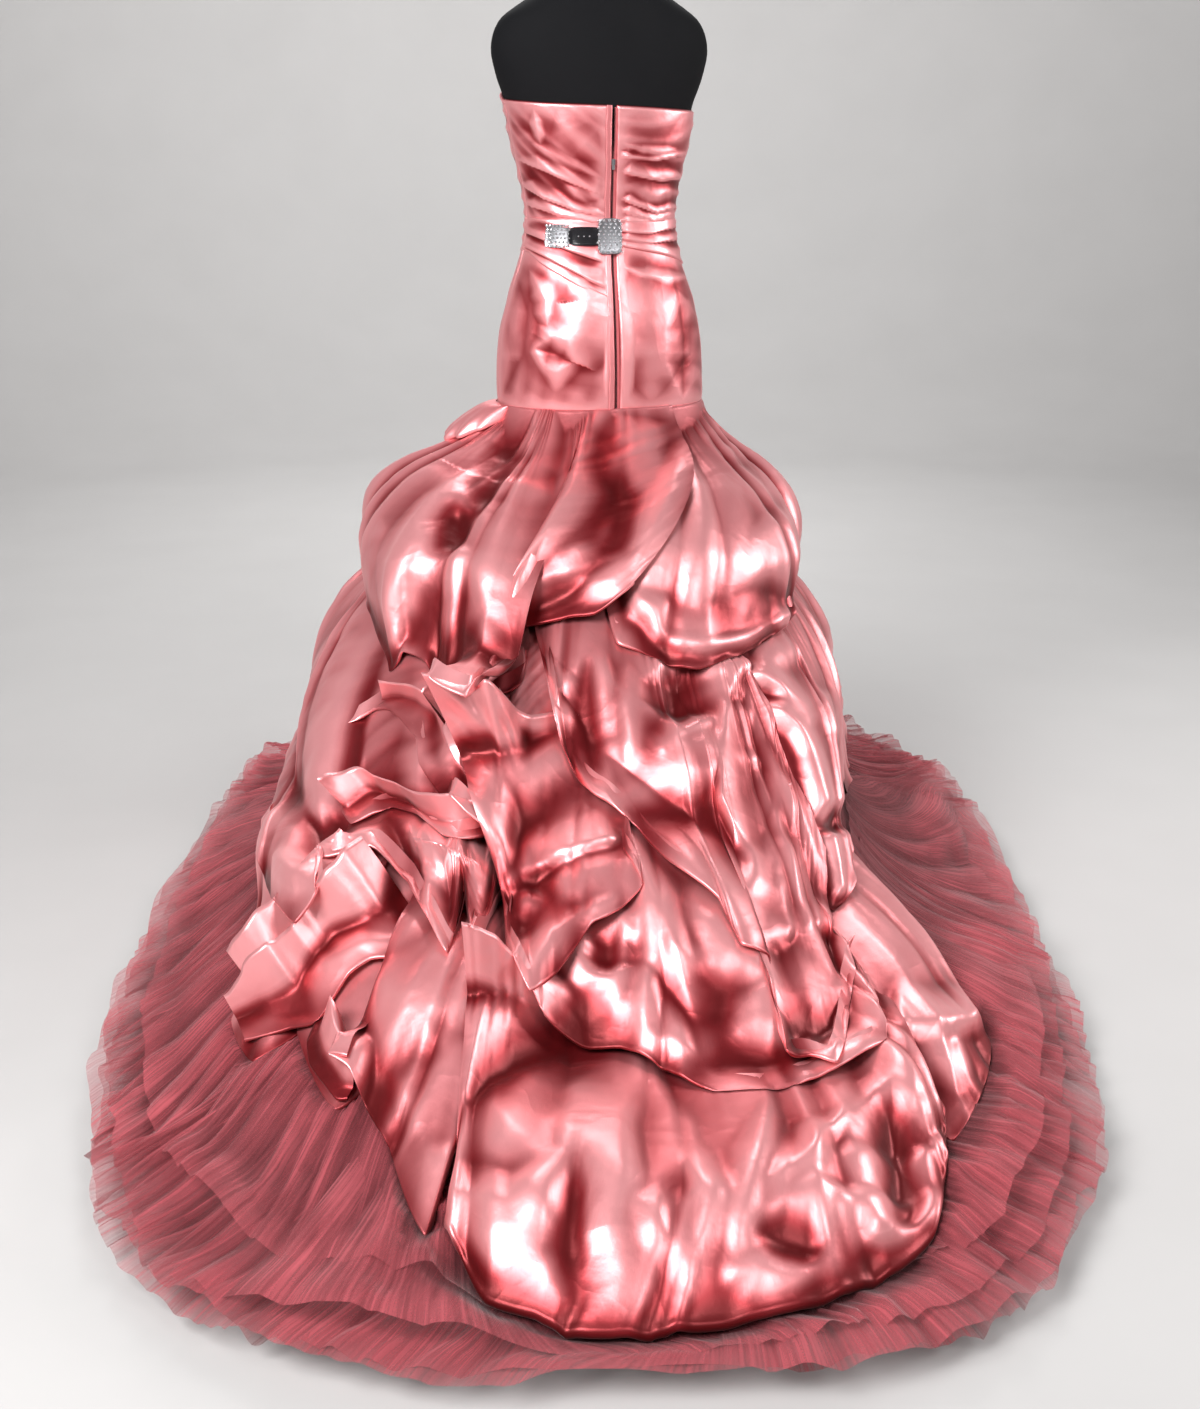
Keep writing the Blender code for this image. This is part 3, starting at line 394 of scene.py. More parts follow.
def creases(u, v, seed, size=0.095, count=6):
    """Small sharp creases over cloth, between about -1 and 1."""
    rng = np.random.default_rng(seed)
    total = np.zeros(u.shape)
    for _ in range(count):
        turn = rng.uniform(0, math.pi)
        wave = size * rng.uniform(0.7, 1.8)
        phase, bend = rng.uniform(0, 2 * math.pi, 2)
        along = u * math.cos(turn) + v * math.sin(turn)
        across = v * math.cos(turn) - u * math.sin(turn)
        bent = along / wave + phase + 0.22 * np.sin(across / wave * 1.3 + bend)
        patch = 0.5 + 0.5 * np.sin(across / wave * 0.7 + along / wave * 0.45 + bend * 2)
        total += (faceted(bent) - 0.45) * patch
    return total / math.sqrt(count)


print("kinds of fold: crest, pinch, valley, over")

# %% [markdown]
# ## Shader maths
#
# A finish is a small program. Written as nodes by hand it is hard to read, so one class wraps a socket and
# lets Python's own signs build the Math nodes. Any other node comes from one method.

# %% The class that wraps a socket
class Shade:
    """One output socket of a node tree, for writing shader maths as expressions."""

    def __init__(self, tree, socket):
        self.tree, self.socket = tree, socket

    def _math(self, operation, first, second):
        node = self.tree.nodes.new("ShaderNodeMath")
        node.operation = operation
        for place, value in enumerate((first, second)):
            self.feed(node.inputs[place], value)
        return Shade(self.tree, node.outputs[0])

    def feed(self, target, value):
        """Links a wrapped socket to an input, or sets the input to a plain value."""
        if isinstance(value, Shade):
            self.tree.links.new(value.socket, target)
        else:
            target.default_value = value

    def node(self, kind, output, settings=(), **values):
        """Any other node: its type, the output wanted, its settings, and its inputs by name."""
        made = self.tree.nodes.new(kind)
        for name, value in dict(settings).items():
            setattr(made, name, value)
        for name, value in values.items():
            place = name.replace("_", " ")
            if place[0] == "i" and place[1:].isdigit():
                place = int(place[1:])
            self.feed(made.inputs[place], value)
        return Shade(self.tree, made.outputs[output])

    def __add__(self, other):
        return self._math("ADD", self, other)

    def __radd__(self, other):
        return self._math("ADD", other, self)

    def __sub__(self, other):
        return self._math("SUBTRACT", self, other)

    def __rsub__(self, other):
        return self._math("SUBTRACT", other, self)

    def __mul__(self, other):
        return self._math("MULTIPLY", self, other)

    def __rmul__(self, other):
        return self._math("MULTIPLY", other, self)

    def __pow__(self, other):
        return self._math("POWER", self, other)


def new_finish(name):
    """A new material: itself, its Principled shader, and its Object coordinates."""
    made = bpy.data.materials.new(name)
    made.use_nodes = True
    tree = made.node_tree
    shader = tree.nodes["Principled BSDF"]
    place = Shade(tree, tree.nodes.new("ShaderNodeTexCoord").outputs["Object"])
    return made, shader, place


def tone(place, factor, low, high):
    """A colour between two others, each a plain colour or one that other nodes make."""
    low, high = (value if isinstance(value, Shade) else (*value, 1) for value in (low, high))
    return place.node("ShaderNodeMix", 2, {"data_type": "RGBA"}, i0=factor, i6=low, i7=high)


def noise(place, scale, detail, **more):
    """Smooth noise over coordinates."""
    return place.node("ShaderNodeTexNoise", 0, Vector=place, Scale=scale, Detail=detail, **more)


def relief(place, shader, height, strength, distance):
    """Bumps on a finish's surface."""
    bump = place.node("ShaderNodeBump", 0, Strength=strength, Distance=distance, Height=height)
    place.feed(shader.inputs["Normal"], bump)


print("shader maths ready")

# %% [markdown]
# ## Duchess satin
#
# Satin floats long shiny threads on its face, so it mirrors light along the folds and falls to deep red in
# them. A little metallic value gives the coloured mirror, and a slight weave and slubs keep it from looking
# like plastic. Shade and highlight are also painted into its colour: deep red in the hollows of the folds
# and paler on their crests.

# %% The satin's finish
# Satin colours: the hollow colour is painted shade; the dark and light ones mix the satin's own uneven tone
# with painted shade and painted highlight.
SATIN_PAINTED_HOLLOW_SHADE = (0.140, 0.003, 0.005)
SATIN_DARK_AND_PAINTED_SHADE = (0.480, 0.032, 0.044)
SATIN_LIGHT_AND_PAINTED_HIGHLIGHT = (0.920, 0.365, 0.380)


def satin_finish():
    """Rose satin with a fine weave that follows the cloth's own UV map, and painted shade and highlight on its
    folds.
    """
    made, shader, place = new_finish("rose satin")
    cloth_uv = place.node("ShaderNodeUVMap", 0, {"uv_map": "cloth"})
    long_threads = cloth_uv.node("ShaderNodeMapping", 0, i0=cloth_uv, Scale=(1500.0, 130.0, 1.0))
    slub = noise(long_threads, 1.0, 2.0)
    cloud = noise(place, 7.0, 3.0)
    small = noise(place, 55.0, 3.0)
    ripple = noise(place, 11.0, 2.0, Distortion=0.5)
    crease = 1.0 - place.node("ShaderNodeMath", 0, {"operation": "ABSOLUTE"}, i0=ripple * 5.0 - 2.5)
    # The crest mask paints light and shade into the colour: paler on crests and darker in hollows, with random
    # tone from the cloud and slubs.
    crest = place.node("ShaderNodeAttribute", 2, {"attribute_name": "crest"})
    face = tone(place, crest * 1.7 - 0.68 + cloud * 0.45 + slub * 0.12, SATIN_DARK_AND_PAINTED_SHADE, SATIN_LIGHT_AND_PAINTED_HIGHLIGHT)
    # Painted shade: the deepest hollows fall to a dark red.
    place.feed(shader.inputs["Base Color"], tone(place, crest * 2.1 - 0.22, SATIN_PAINTED_HOLLOW_SHADE, face))
    place.feed(shader.inputs["Roughness"], 0.31 + 0.10 * slub + 0.06 * cloud)
    shader.inputs["Metallic"].default_value = 0.68
    shader.inputs["Coat Weight"].default_value = 0.06
    shader.inputs["Coat Roughness"].default_value = 0.36
    shader.inputs["Sheen Weight"].default_value = 0.08
    shader.inputs["Sheen Roughness"].default_value = 0.35
    shader.inputs["Specular IOR Level"].default_value = 0.7
    relief(place, shader, crease * 0.45 + small * 0.35 + slub * 0.05, 0.35, 0.004)
    return made


satin = satin_finish()
print("finish:", satin.name)

# %% [markdown]
# ## Tulle
#
# Tulle is a net with holes of about a millimetre, too fine to draw from here. What is seen is how much of
# it the eye looks through: more where it lies flat, less where it is gathered. So its alpha follows thin
# streaks that run down the gathers, and many layers of it lie on each other.

# %% The tulle's finish
# Tulle colours: tone along its streaks, with painted shade in its hollows and painted highlight on its crests.
TULLE_DARK_AND_PAINTED_SHADE = (0.080, 0.008, 0.012)
TULLE_LIGHT_AND_PAINTED_HIGHLIGHT = (0.420, 0.075, 0.092)


def tulle_finish(name, thin, thick, streaks=260.0):
    """Dusty rose net, seen through between its gathers, with painted shade in its hollows and painted highlight
    on its crests.
    """
    made, shader, place = new_finish(name)
    cloth_uv = place.node("ShaderNodeUVMap", 0, {"uv_map": "cloth"})
    gathers = cloth_uv.node("ShaderNodeMapping", 0, i0=cloth_uv, Scale=(streaks, 5.0, 1.0))
    streak = noise(gathers, 1.0, 3.0, Distortion=0.4)
    cloud = noise(place, 9.0, 2.0)
    net = noise(place, 600.0, 1.0)
    crest = place.node("ShaderNodeAttribute", 2, {"attribute_name": "crest"})
    # Painted shade and highlight: the net is darker in its hollows and paler on its crests, by the crest mask,
    # and also varies along its streaks.
    place.feed(shader.inputs["Base Color"],
               tone(place, crest * 0.75 + streak * 0.5 - 0.12, TULLE_DARK_AND_PAINTED_SHADE, TULLE_LIGHT_AND_PAINTED_HIGHLIGHT))
    way_down = cloth_uv.node("ShaderNodeSeparateXYZ", 1, Vector=cloth_uv)
    weight = (streak * 0.55 + cloud * 0.45 + net * 0.1) ** 2.4 * (1.5 - way_down * 1.5)
    place.feed(shader.inputs["Alpha"], thin + (thick - thin) * weight)
    shader.inputs["Roughness"].default_value = 0.75
    shader.inputs["Sheen Weight"].default_value = 0.22
    shader.inputs["Sheen Roughness"].default_value = 0.4
    shader.inputs["Specular IOR Level"].default_value = 0.25
    return made


tulle = tulle_finish("rose tulle", 0.05, 2.00)
lining_tulle = tulle_finish("gathered rose tulle", 0.55, 1.25, 180.0)
print("finishes:", tulle.name, lining_tulle.name)

# %% [markdown]
# ## Jersey, steel, silver, enamel and zip tape
#
# The form is covered in matte black jersey with a fine rib. The stand is black powder-coated steel. The
# slider is silver. The clasp's middle is black enamel, and its stones sit in a darker metal, so that they
# sparkle. Tape and thread have the same kind of finish, with no metal in it.

# %% The other finishes
def jersey_finish():
    """Matte black jersey with a fine knit."""
    made, shader, place = new_finish("black jersey")
    rib = place.node("ShaderNodeTexWave", 1, {"wave_type": "BANDS", "bands_direction": "Z"}, Vector=place,
                     Scale=220.0, Distortion=1.5)
    cloud = noise(place, 12.0, 3.0)
    place.feed(shader.inputs["Base Color"], tone(place, cloud, (0.003, 0.003, 0.004), (0.008, 0.008, 0.009)))
    place.feed(shader.inputs["Roughness"], 0.75 + 0.2 * cloud)
    shader.inputs["Specular IOR Level"].default_value = 0.14
    relief(place, shader, rib, 0.15, 0.0005)
    return made


def small_finish(name, low, high, rough, metallic):
    """The finish of a small part: its colour and gloss vary a little, under faint scratches."""
    made, shader, place = new_finish(name)
    cloud = noise(place, 90.0, 4.0)
    scratch = noise(place.node("ShaderNodeMapping", 0, i0=place, Scale=(900.0, 900.0, 40.0)), 1.0, 2.0)
    place.feed(shader.inputs["Base Color"], tone(place, cloud, low, high))
    place.feed(shader.inputs["Roughness"], rough + 0.12 * scratch)
    shader.inputs["Metallic"].default_value = metallic
    relief(place, shader, scratch, 0.12, 0.0003)
    return made


jersey = jersey_finish()
steel = small_finish("black steel", (0.012, 0.012, 0.013), (0.030, 0.030, 0.032), 0.38, 0.4)
silver = small_finish("silver", (0.62, 0.62, 0.66), (0.85, 0.85, 0.88), 0.10, 1.0)
enamel = small_finish("black enamel", (0.006, 0.006, 0.007), (0.016, 0.015, 0.018), 0.10, 0.0)
setting_metal = small_finish("stone setting", (0.20, 0.20, 0.21), (0.34, 0.34, 0.36), 0.30, 1.0)
gem = small_finish("cut stones", (0.80, 0.82, 0.86), (0.98, 0.98, 1.0), 0.02, 0.85)
tape = small_finish("zip tape", (0.42, 0.075, 0.085), (0.55, 0.12, 0.13), 0.62, 0.0)
thread = small_finish("rose thread", (0.66, 0.22, 0.23), (0.80, 0.33, 0.34), 0.50, 0.0)
small_finishes = (steel, silver, enamel, setting_metal, gem, tape, thread)
print("finishes:", jersey.name, *[made.name for made in small_finishes])


def give(node_name, finish):
    """Sets the finish of a CAD node that is shown as it is."""
    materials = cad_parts[node_name].data.materials
    materials.clear()
    materials.append(finish)

# %% [markdown]
# ## The form
#
# A limbless dress form: a smooth body of revolution that is wider than it is deep, cut flat at the neck. It
# wears the gown, so its skin is the figure itself, two and a half millimetres inside the cloth. The CAD
# form has few faces, and this one has many.

# %% Make the form's smooth skin
FORM_IN = 0.0025
FORM_TOP, FORM_FOOT = 1.560, 0.742
form_angle = np.radians(np.arange(96) * 3.75)[None, :]
form_z = np.linspace(FORM_TOP, FORM_FOOT, 110)[:, None]
form_points = figure_point(form_angle, form_z, -FORM_IN + 0 * form_z)


def closed_ends(name, points):
    """A closed skin from a grid that runs all the way round: its two open ends are filled."""
    made = cloth(name, points, closed=True)
    rows, columns = points.shape[:2]
    mesh = made.data
    everything = [vertex.co[:] for vertex in mesh.vertices]
    faces = [tuple(face.vertices) for face in mesh.polygons]
    faces.append(tuple(range(columns)))
    faces.append(tuple(reversed(range((rows - 1) * columns, rows * columns))))
    closed = bpy.data.meshes.new(name)
    closed.from_pydata(everything, [], faces)
    closed.shade_smooth()
    closed.set_sharp_from_angle(angle=math.radians(50))
    made.data = closed
    bpy.data.meshes.remove(mesh)
    closed.name = name
    return made


form = closed_ends("form_skin", form_points)
form.data.materials.append(jersey)
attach(form, "gown")
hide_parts("form_torso")
for node_name in ("form_neck_cap", "form_socket", "stand_pole", "stand_base"):
    give(node_name, steel)
print("form faces", len(form.data.polygons))

# %% [markdown]
# ## The bodice
#
# The bodice is cut in a left back, a right back and a front, with pleats that were pinned and pressed
# towards the zip. Each panel is a grid on the figure, thick enough to cover the CAD panel, and its pleats
# are fold lines.

# %% The bodice's edges
NECKLINE = ((-180, 1.288), (-150, 1.312), (-120, 1.300), (-90, 1.281), (-40, 1.274), (0, 1.270),
            (40, 1.266), (90, 1.263), (120, 1.292), (150, 1.310), (180, 1.288))
DRAPE_LEFT = ((-180, 0.990), (-140, 1.022), (-95, 1.048), (-70, 1.044), (-35, 1.010), (0, 0.966))
DRAPE_RIGHT = ((0, 1.056), (40, 1.040), (80, 1.022), (90, 1.018))
DRAPE_FRONT = ((-180, 0.990), (-140, 1.022), (-95, 1.048), (-80, 1.047), (0, 1.03), (80, 1.022), (120, 1.008),
               (180, 0.990))
SIDE_SEAM = 86.0
BESIDE_ZIP = 0.0048

# Folds as (kind, width, height, line in the photograph).
BODICE_LEFT_FOLDS = (
    ("pinch", 0.006, 0.0016, ((518, 136), (560, 158), (606, 180))),
    ("over", 0.010, 0.0030, ((512, 156), (545, 170), (575, 184), (606, 196))),
    ("over", 0.009, 0.0034, ((520, 182), (545, 198), (575, 210), (608, 217))),
    ("over", 0.009, 0.0034, ((524, 202), (560, 215), (608, 226))),
    ("crest", 0.008, 0.0022, ((560, 186), (590, 196), (610, 190))),
    ("crest", 0.006, 0.0018, ((582, 200), (596, 205), (610, 203))),
    ("pinch", 0.005, 0.0020, ((534, 108), (538, 128), (543, 150))),
    ("crest", 0.012, 0.0018, ((560, 108), (572, 135), (600, 160))),
    ("crest", 0.012, 0.0018, ((508, 124), (520, 150), (530, 175))))
BODICE_RIGHT_FOLDS = (
    ("pinch", 0.005, 0.0024, ((618, 142), (640, 151), (662, 152), (692, 147))),
    ("valley", 0.005, 0.0026, ((618, 149), (642, 156), (662, 157))),
    ("over", 0.008, 0.0028, ((618, 157), (655, 160), (692, 153))),
    ("over", 0.009, 0.0030, ((620, 172), (660, 181), (684, 177))),
    ("crest", 0.009, 0.0026, ((622, 186), (655, 196), (682, 192))),
    ("over", 0.008, 0.0032, ((620, 199), (655, 213), (678, 206))),
    ("over", 0.007, 0.0030, ((620, 211), (650, 220), (678, 214))),
    ("over", 0.007, 0.0030, ((620, 222), (650, 224), (678, 217))),
    ("crest", 0.016, 0.0020, ((690, 108), (692, 140), (680, 190))))
DRAPE_LEFT_FOLDS = (
    ("over", 0.009, 0.0036, ((518, 212), (560, 226), (604, 236))),
    ("over", 0.009, 0.0036, ((516, 226), (560, 246), (604, 262))),
    ("over", 0.010, 0.0040, ((518, 240), (560, 263), (606, 288))),
    ("crest", 0.008, 0.0026, ((520, 250), (560, 274), (604, 302))))
DRAPE_RIGHT_FOLDS = (
    ("over", 0.008, 0.0034, ((618, 231), (650, 233), (680, 225))),
    ("over", 0.008, 0.0036, ((618, 238), (650, 243), (684, 238))),
    ("crest", 0.008, 0.0026, ((618, 243), (650, 252), (686, 256))))
HIP_LEFT_FOLDS = (
    ("crest", 0.022, 0.0060, ((574, 268), (590, 300), (580, 332), (560, 356), (556, 392))),
    ("crest", 0.014, 0.0040, ((512, 262), (505, 310), (500, 360), (500, 400))),
    ("valley", 0.012, 0.0034, ((535, 348), (555, 353), (577, 362))),
    ("over", 0.007, 0.0034, ((601, 240), (603, 290), (606, 345), (606, 400))),
    ("pinch", 0.010, 0.0030, ((530, 268), (548, 300), (548, 340))))
HIP_RIGHT_FOLDS = (
    ("crest", 0.024, 0.0050, ((640, 262), (650, 310), (650, 400))),
    ("pinch", 0.008, 0.0030, ((622, 266), (642, 274), (664, 278), (690, 276))),
    ("crest", 0.010, 0.0036, ((624, 280), (632, 330), (626, 400))),
    ("valley", 0.014, 0.0034, ((676, 290), (684, 340), (682, 400))))


def side_edge(z, x):
    """The angle at which the figure is x to one side of centre back."""
    width = figure_point(np.full_like(z, math.pi / 2), z, np.zeros_like(z))[..., 0]
    return np.arcsin(x / width)


def edge_of(table):
    """An edge whose height is read from a table of (angle in degrees, height)."""
    degrees_of, heights = np.array(table, float).T

    def height_at(degrees):
        return np.interp((degrees + 180) % 360 - 180, degrees_of, heights)

    return height_at


def level(height):
    """An edge at one height all the way round."""
    return edge_of(((-180, height), (180, height)))


print("bodice folds", sum(map(len, (BODICE_LEFT_FOLDS, BODICE_RIGHT_FOLDS, DRAPE_LEFT_FOLDS, DRAPE_RIGHT_FOLDS,
                                    HIP_LEFT_FOLDS, HIP_RIGHT_FOLDS))))

# %% Cut and pleat the fitted panels
CELL = 0.0026
PROUD = 0.0010
TURN_IN = 0.0035
PANEL_RADIUS, CREASE_RADIUS = 0.15, 0.14
PANEL_CREASE = 0.0007


def fitted_panel(name, sides, top, bottom, folds, nodes, waves, lift=0.0):
    """A panel on the figure between two angles, with its edges turned in towards the form."""
    left, right = sides
    ends = np.array([left or 0, right or 0])
    columns = int(math.radians(ends[1] - ends[0]) * PANEL_RADIUS / CELL)
    rows = int((np.max(top(ends)) - np.min(bottom(ends))) / CELL)
    across = np.linspace(0, 1, columns)[None, :]
    down = np.linspace(0, 1, rows)[:, None]
    angle = np.radians(ends[0] + (ends[1] - ends[0]) * across) + 0 * down
    z = top(np.degrees(angle)) * (1 - down) + bottom(np.degrees(angle)) * down
    if left is None:
        angle = angle + (1 - across) * side_edge(z, BESIDE_ZIP)
    if right is None:
        angle = angle - across * side_edge(z, BESIDE_ZIP)
    foot, away = figure_foot(angle, z)
    count, lean, deep = waves
    phase = (z - WAIST_Z) * count + np.degrees(angle) * lean
    warp = 0.25 * np.sin(np.degrees(angle) * 0.07 + z * 40)
    front = 1 - towards_camera(foot, away)
    wave = (0.5 + 0.5 * np.cos(2 * math.pi * (phase + warp))) ** 2
    height = SATIN + PROUD + lift + deep * wave * (0.25 + 0.75 * front)
    height += fold_height(foot, away, folds)
    height += PANEL_CREASE * creases(angle * CREASE_RADIUS, z, seed_of(name), size=0.040)
    edge = np.minimum(np.minimum(across, 1 - across) * columns, np.minimum(down, 1 - down) * rows)
    height = SATIN + lift + (height - SATIN - lift) * soft_step((edge + 0.6) / 3.0)
    height = np.where(edge < 0.5, height - TURN_IN, height)
    made = cloth(name, foot + away * height[..., None])
    # Painted shade in the pleats' hollows and painted highlight on their crests, for the satin's colour.
    store_painted_shade(made, painted_shade_mask(height, 5, 0.0016))
    made.data.materials.append(satin)
    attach(made, "gown")
    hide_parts(*nodes)
    return made


# How far one panel runs on under the next: at the yoke's top, at the hip seam and at the drape's lower edge.
YOKE_LAP, SEAM_LAP, HIP_LAP = 0.012, 0.004, 0.014
neck, yoke = edge_of(NECKLINE), level(YOKE_TOP_Z - YOKE_LAP)
LEFT_SIDES, RIGHT_SIDES, FRONT_SIDES = (-SIDE_SEAM, None), (None, SIDE_SEAM), (SIDE_SEAM, 360 - SIDE_SEAM)
hip_seam = level(HIP_SEAM_Z - SEAM_LAP)
DRAPE_LIFT = 0.0016
panels = []
for place, sides, table, upper_folds, drape_folds, hip_folds in (
        ("back_left", LEFT_SIDES, DRAPE_LEFT, BODICE_LEFT_FOLDS, DRAPE_LEFT_FOLDS, HIP_LEFT_FOLDS),
        ("back_right", RIGHT_SIDES, DRAPE_RIGHT, BODICE_RIGHT_FOLDS, DRAPE_RIGHT_FOLDS, HIP_RIGHT_FOLDS),
        ("front", FRONT_SIDES, DRAPE_FRONT, (), (), ())):
    short = place.replace("back_", "")
    lean = 0.06 if short == "left" else -0.01
    panels.append(fitted_panel("bodice_" + place + "_satin", sides, neck, yoke, upper_folds,
                               ["bodice_" + place], (32, lean, 0.0024)))
    panels.append(fitted_panel("waist_drape_" + short + "_satin", sides, level(YOKE_TOP_Z), edge_of(table),
                               drape_folds, ["waist_drape_" + short], (50, 0.012, 0.0024), DRAPE_LIFT))
    upper = [(degrees, height + HIP_LAP) for degrees, height in table]
    panels.append(fitted_panel("hip_" + place + "_satin", sides, edge_of(upper), hip_seam, hip_folds,
                               ["hip_" + place], (6, 0.02, 0.0012)))
print("panels", [(made.name, len(made.data.polygons)) for made in panels])

# %% [markdown]
# ## The satin skirt
#
# Thirteen pieces of satin and seven small pick-ups are tacked on, each over the ones below. A piece runs
# from its sewn edge, hidden under the tier above, to a hem that is rolled under. Its table says, column by
# column, where the sewn edge is, where the hem is, and how far the cloth swells between them. Where the
# photograph shows the hem, its place is read there; elsewhere it is an angle and a ring number.

# %% Find a place of the photograph on the skirt
LOOK_ANGLES = np.radians(np.arange(-125, 110, 0.5))
LOOK_RINGS = np.arange(0, 7.6, 0.02)
LOOK_LIFT = 0.04
look_angle, look_ring = np.meshgrid(LOOK_ANGLES, LOOK_RINGS, indexing="ij")
look_foot, look_away = skirt_foot(look_angle, look_ring)
look_places = in_photo(look_foot + look_away * LOOK_LIFT)[0]
look_shown = towards_camera(look_foot, look_away) > 0
# Added to a pixel's x, to tell it from an angle in the same column of a table.
PIXEL = 10000.0


def seen(x, y):
    """A place in the photograph, for a table. It is found on the skirt when the piece is laid."""
    return PIXEL + x, float(y)


def find_seen(x, y, trees, lip=0.0):
    """The angle and ring where a hem, a lip above all that is laid, is seen at a photograph place."""
    index, spot = None, np.array((x, y), float)
    for rise in (0.0, lip):
        if index is not None:
            base = np.array(nearest)
            spot = spot - (in_photo(base + look_away[index] * rise)[0] - in_photo(base)[0])
        ray = Vector(AHEAD + RIGHT * (spot[0] - PHOTO_WIDTH / 2) / FOCAL
                     + UP * (PHOTO_HEIGHT / 2 - spot[1]) / FOCAL).normalized()
        hits = [hit for hit in (tree.ray_cast(Vector(EYE), ray) for tree in trees) if hit[3] is not None]
        if hits:
            nearest = min(hits, key=lambda hit: hit[3])[0]
            far = np.linalg.norm(look_foot - np.array(nearest), axis=-1)
        else:
            far = np.where(look_shown, np.linalg.norm(look_places - spot, axis=-1), np.inf)
        index = np.unravel_index(np.argmin(far), far.shape)
        if not hits:
            break
    return math.degrees(look_angle[index]), float(look_ring[index])


def found_table(table, trees):
    """A table with every photograph place turned into an angle and a ring."""
    rows = []
    for row in table:
        row = list(row)
        for place in (0, 2):
            if row[place] > PIXEL / 2:
                lip = row[5] if place else 0.0
                row[place:place + 2] = find_seen(row[place] - PIXEL, row[place + 1], trees, lip)
        rows.append(row)
    return np.array(rows, float)


print("places of the photograph ready")

# %% Tables of the lower pieces
# Each row: sewn angle, sewn ring, hem angle, hem ring, puff, height of the hem, sideways bow.
SWAGS = {}
SWAGS["satin_side_left"] = dict(cell=1.3, crumple=0.7, gathers=7, depth=0.011, table=(
    (-104, 3.0, -100, 4.7, 0.030, 0.016, 0), (-84, 3.1, -82, 4.95, 0.045, 0.030, 0),
    (-66, 3.2, *seen(247, 980), 0.050, 0.030, 0), (-60, 3.2, *seen(263, 996), 0.050, 0.026, 0),
    (-56, 3.2, *seen(298, 968), 0.030, 0.012, 0), (-53, 3.2, *seen(236, 1018), 0.050, 0.030, 0),
    (-47, 3.2, *seen(257, 1061), 0.050, 0.030, 0), (-41, 3.1, *seen(308, 1022), 0.040, 0.020, 0),
    (-36, 3.1, *seen(309, 1050), 0.045, 0.026, 0), (-30, 3.1, *seen(341, 1110), 0.040, 0.026, 0),
    (-24, 3.0, *seen(385, 1095), 0.040, 0.020, 0), (-15, 3.0, -17, 4.40, 0.020, 0.010, 0)))
# Each pick-up row: a place on its sewn edge and a place on its hem, both read off the photograph.
SMALL_PUFF, SMALL_LIP = 0.012, 0.010


def pick_up(*rows, puff=SMALL_PUFF, lip=SMALL_LIP):
    """A small piece from its sewn edge and its hem in the photograph, sewn flat at both of its ends."""
    last = len(rows) - 1
    ends = [0.3 if number in (0, last) else 1.0 for number in range(len(rows))]
    return dict(gathers=1, depth=0.001, ease=3, table=[
        (*seen(*row[:2]), *seen(*row[2:]), puff * end, lip * end, 0) for row, end in zip(rows, ends)])


SWAGS["pick_up_curl"] = pick_up(
    (345, 1022, 316, 1020), (345, 1032, 309, 1040), (348, 1045, 311, 1060), (352, 1060, 324, 1082),
    (356, 1075, 337, 1106), (360, 1085, 350, 1110), puff=0.014)
SWAGS["pick_up_finger_small"] = pick_up(
    (247, 981, 262, 996), (264, 961, 284, 976), (285, 937, 303, 955), (308, 914, 320, 938),
    (326, 893, 337, 918), (346, 868, 360, 892), (362, 855, 382, 868), puff=0.026, lip=0.006)
SWAGS["pick_up_finger"] = pick_up(
    (236, 1018, 256, 1061), (262, 1000, 290, 1045), (290, 978, 318, 1012), (315, 955, 346, 975),
    (330, 934, 368, 958), (343, 911, 405, 955), (365, 888, 427, 958), (386, 868, 436, 940),
    puff=0.040, lip=0.008)
SWAGS["satin_front_low"] = dict(gathers=9, depth=0.009, table=(
    (84, 3.4, 82, 4.60, 0.020, 0.012, 0), (100, 3.3, 100, 5.00, 0.045, 0.030, 0),
    (125, 3.2, 125, 4.70, 0.045, 0.030, 0), (150, 3.3, 150, 5.15, 0.050, 0.032, 0),
    (180, 3.2, 180, 4.75, 0.045, 0.030, 0), (208, 3.3, 208, 5.15, 0.050, 0.032, 0),
    (235, 3.2, 235, 4.80, 0.045, 0.030, 0), (258, 3.3, 260, 5.00, 0.025, 0.014, 0)))
SWAGS["satin_petal_right"] = dict(gathers=2, depth=0.005, table=(
    (40, 4.4, *seen(905, 1110), 0.020, 0.012, 0), (44, 4.4, *seen(948, 1136), 0.030, 0.020, 0),
    (49, 4.3, *seen(978, 1100), 0.045, 0.030, 0), (54, 4.3, *seen(990, 1060), 0.045, 0.030, 0),
    (58, 4.3, *seen(985, 1033), 0.045, 0.030, 0), (62, 4.2, *seen(965, 1004), 0.035, 0.022, 0),
    (66, 4.1, *seen(935, 985), 0.015, 0.010, 0)))
SWAGS["satin_diagonal"] = dict(crumple=0.45, gathers=3, shirrs=9, depth=0.007, table=(
    (-27, 3.8, *seen(346, 1043), 0.012, 0.008, 0), (-24, 3.8, *seen(331, 1053), 0.040, 0.028, 0),
    (-19, 3.8, *seen(356, 1088), 0.050, 0.030, 0), (-14, 3.8, *seen(390, 1148), 0.050, 0.030, 0),
    (-10, 3.9, *seen(426, 1232), 0.050, 0.030, 0), (-7, 4.0, *seen(447, 1172), 0.030, 0.018, 0),
    (-3, 4.1, *seen(505, 1100), 0.012, 0.008, 0)))
